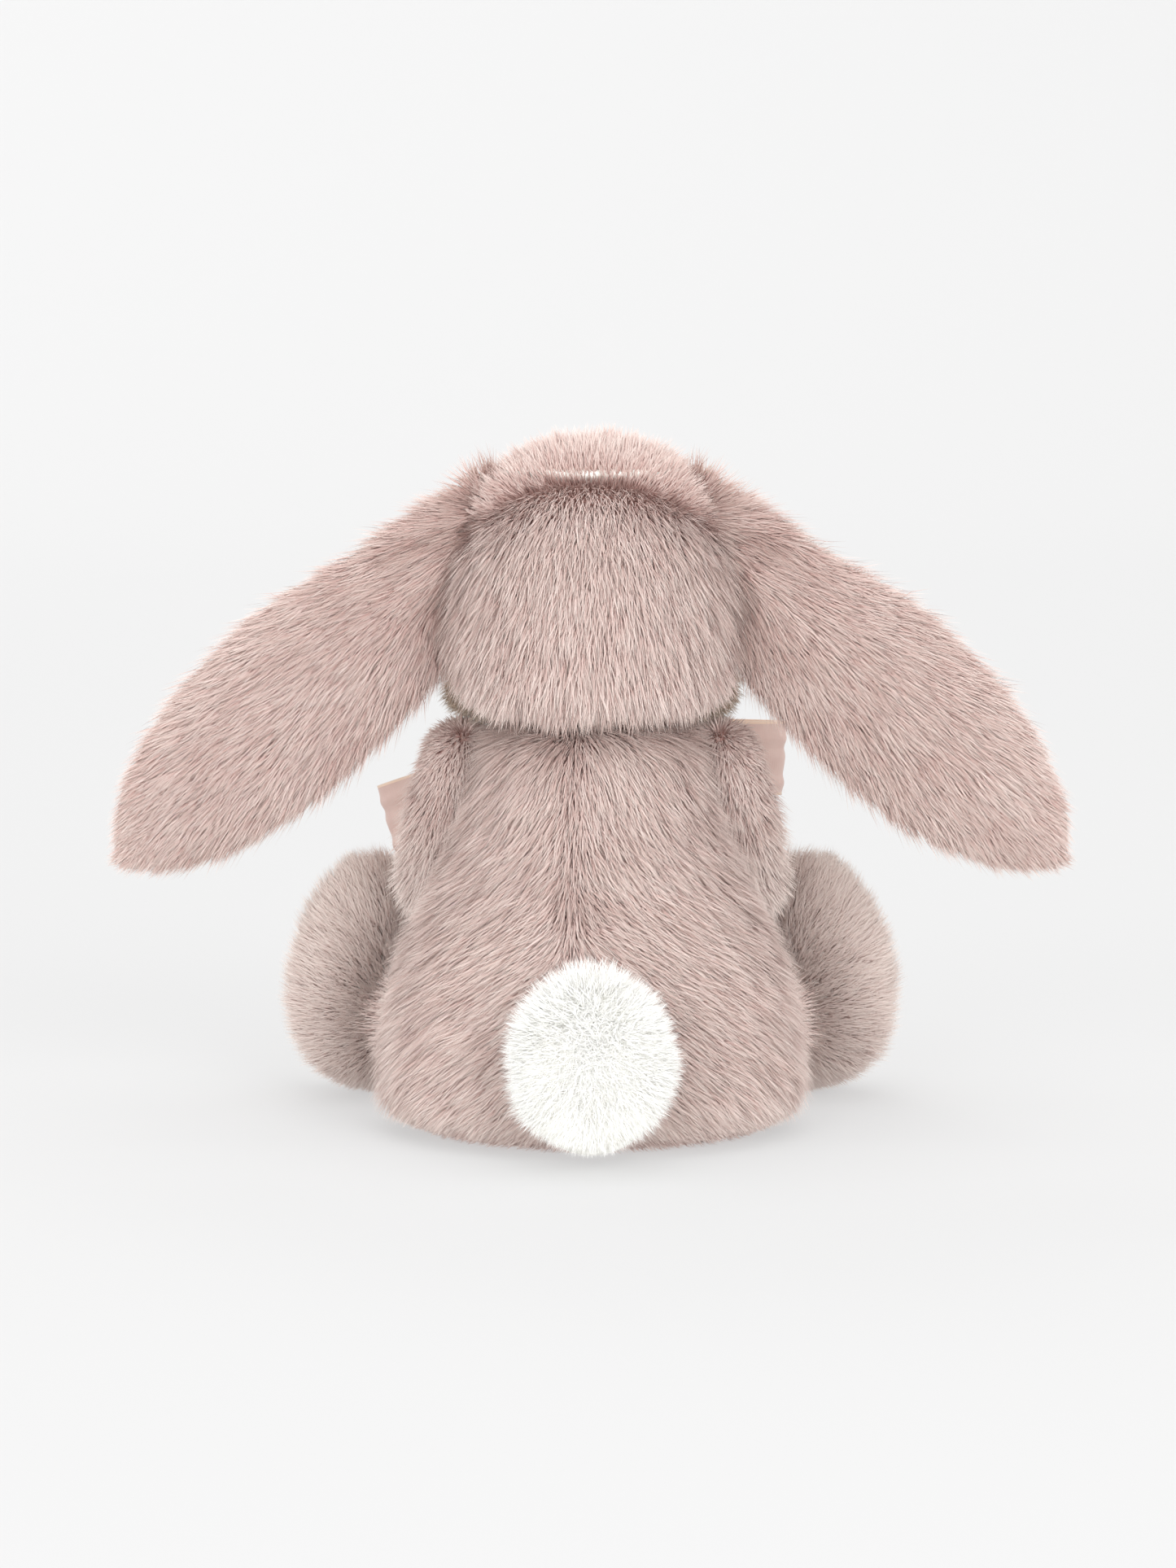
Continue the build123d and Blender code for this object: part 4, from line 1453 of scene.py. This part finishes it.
@dataclass
class Fittings(Maker):
    """Pieces whose CAD shape is already right, and only need their finish."""

    def build(self) -> None:
        """Dress eyes, washers, nose, stuffing and beans."""
        finishes = ((Slot.EYE, self.wardrobe.eye, ("eye_left", "eye_right")),
                    (Slot.WASHER, self.wardrobe.washer, ("eye_washer_left", "eye_washer_right")),
                    (Slot.THREAD, self.wardrobe.thread, ("nose", "mouth_stitch")),
                    (Slot.POUCH, self.wardrobe.pouch, ("bean_pouch",)),
                    (Slot.BEAN, self.wardrobe.bean, ("plastic_beans",)),
                    (Slot.STUFFING, self.wardrobe.stuffing,
                     [node for node in frame["nodes"] if node.endswith("stuffing") or "_stuffing_" in node]))
        for slot, material, nodes in finishes:
            for node in nodes:
                piece = frame["nodes"][node]
                piece.data.materials.clear()
                piece.data.materials.append(material)
                log.info("dressed %s as %s", node, slot.value)


def stage_room() -> None:
    """Pale floor, soft studio light and the camera behind the toy."""
    scene = bpy.context.scene
    scene.view_settings.view_transform = "Standard"
    pale = linear(244, 244, 244)
    world = bpy.data.worlds.new("studio")
    scene.world = world
    world.use_nodes = True
    world.node_tree.nodes["Background"].inputs[0].default_value = (*pale, 1.0)
    world.node_tree.nodes["Background"].inputs[1].default_value = 1.0

    floor_mesh = bpy.data.meshes.new("studio_floor")
    half, back, bend = 4.0, -1.6, 1.2
    turn = np.linspace(0, math.pi / 2, 25)
    line = [(40.0, 0.0)] + [(back - bend * math.sin(t), bend * (1 - math.cos(t))) for t in turn]
    line.append((back - bend, 3.0))
    floor_mesh.from_pydata([(x, y, z) for y, z in line for x in (-half, half)], [],
                           [(2 * k, 2 * k + 1, 2 * k + 3, 2 * k + 2) for k in range(len(line) - 1)])
    floor_mesh.shade_smooth()
    floor = bpy.data.objects.new("studio_floor", floor_mesh)
    paper = bpy.data.materials.new("studio_paper")
    paper.use_nodes = True
    tree = paper.node_tree
    shader = tree.nodes["Principled BSDF"]
    shader.inputs["Base Color"].default_value = (0.3, 0.3, 0.3, 1.0)
    shader.inputs["Roughness"].default_value = 1.0
    shader.inputs["Specular IOR Level"].default_value = 0.0
    place = tree.nodes.new("ShaderNodeTexCoord")
    parts = tree.nodes.new("ShaderNodeSeparateXYZ")
    tree.links.new(place.outputs["Object"], parts.inputs[0])
    fade = tree.nodes.new("ShaderNodeMapRange")
    tree.links.new(parts.outputs[1], fade.inputs["Value"])
    for name, value in (("From Min", -0.4), ("From Max", -2.4), ("To Min", 0.0), ("To Max", 1.0)):
        fade.inputs[name].default_value = value
    glow = tree.nodes.new("ShaderNodeMix")
    glow.data_type = "RGBA"
    tree.links.new(fade.outputs[0], glow.inputs[0])
    glow.inputs[6].default_value = (0.49, 0.49, 0.49, 1.0)
    glow.inputs[7].default_value = (0.50, 0.50, 0.50, 1.0)
    tree.links.new(glow.outputs[2], shader.inputs["Emission Color"])
    shader.inputs["Emission Strength"].default_value = 1.0
    floor_mesh.materials.append(paper)
    scene.collection.objects.link(floor)

    for name, place, power, size in (("key_softbox", (-1.2, 2.6, 1.1), 46.0, 1.6),
                                     ("fill_softbox", (1.3, 2.4, 0.7), 36.0, 1.6),
                                     ("top_softbox", (0.0, 0.2, 2.2), 8.0, 1.6),
                                     ("front_softbox", (0.5, -2.7, 1.5), 30.0, 1.6)):
        light = bpy.data.lights.new(name, "AREA")
        light.energy = power
        light.size = size
        lamp = bpy.data.objects.new(name, light)
        lamp.location = place
        aim = np.array([0, 0, 0.08]) - np.array(place)
        lamp.rotation_euler = direction(aim)
        scene.collection.objects.link(lamp)

    lens = bpy.data.cameras.new("camera")
    camera = bpy.data.objects.new("camera", lens)
    distance, lift = 1.35, math.radians(6.4)
    target = np.array([0.0008, 0.0, 0.0765])
    place = target + distance * np.array([0.0, math.cos(lift), math.sin(lift)])
    camera.location = place
    camera.rotation_euler = direction(target - place)
    lens.sensor_width = 36.0
    lens.lens = 36.0 * distance / (1927 * 0.18 * MM)
    scene.collection.objects.link(camera)
    scene.camera = camera


def direction(way: Array) -> Any:
    """Turn that points a light or camera along a direction."""
    return Vector(way).to_track_quat("-Z", "Y").to_euler()


def main() -> None:
    """Build the rabbit, piece by piece."""
    logging.basicConfig(level=logging.INFO, format="%(message)s")
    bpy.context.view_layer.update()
    wardrobe = Wardrobe()
    Head(wardrobe).build()
    Torso(wardrobe).build()
    Muzzle(wardrobe).build()
    for side in SIDES.values():
        Ear(wardrobe, side).build()
        Arm(wardrobe, side).build()
        Leg(wardrobe, side).build()
    Tail(wardrobe).build()
    Bow(wardrobe).build()
    Fittings(wardrobe).build()
    stage_room()


if __name__ == "__main__":
    main()
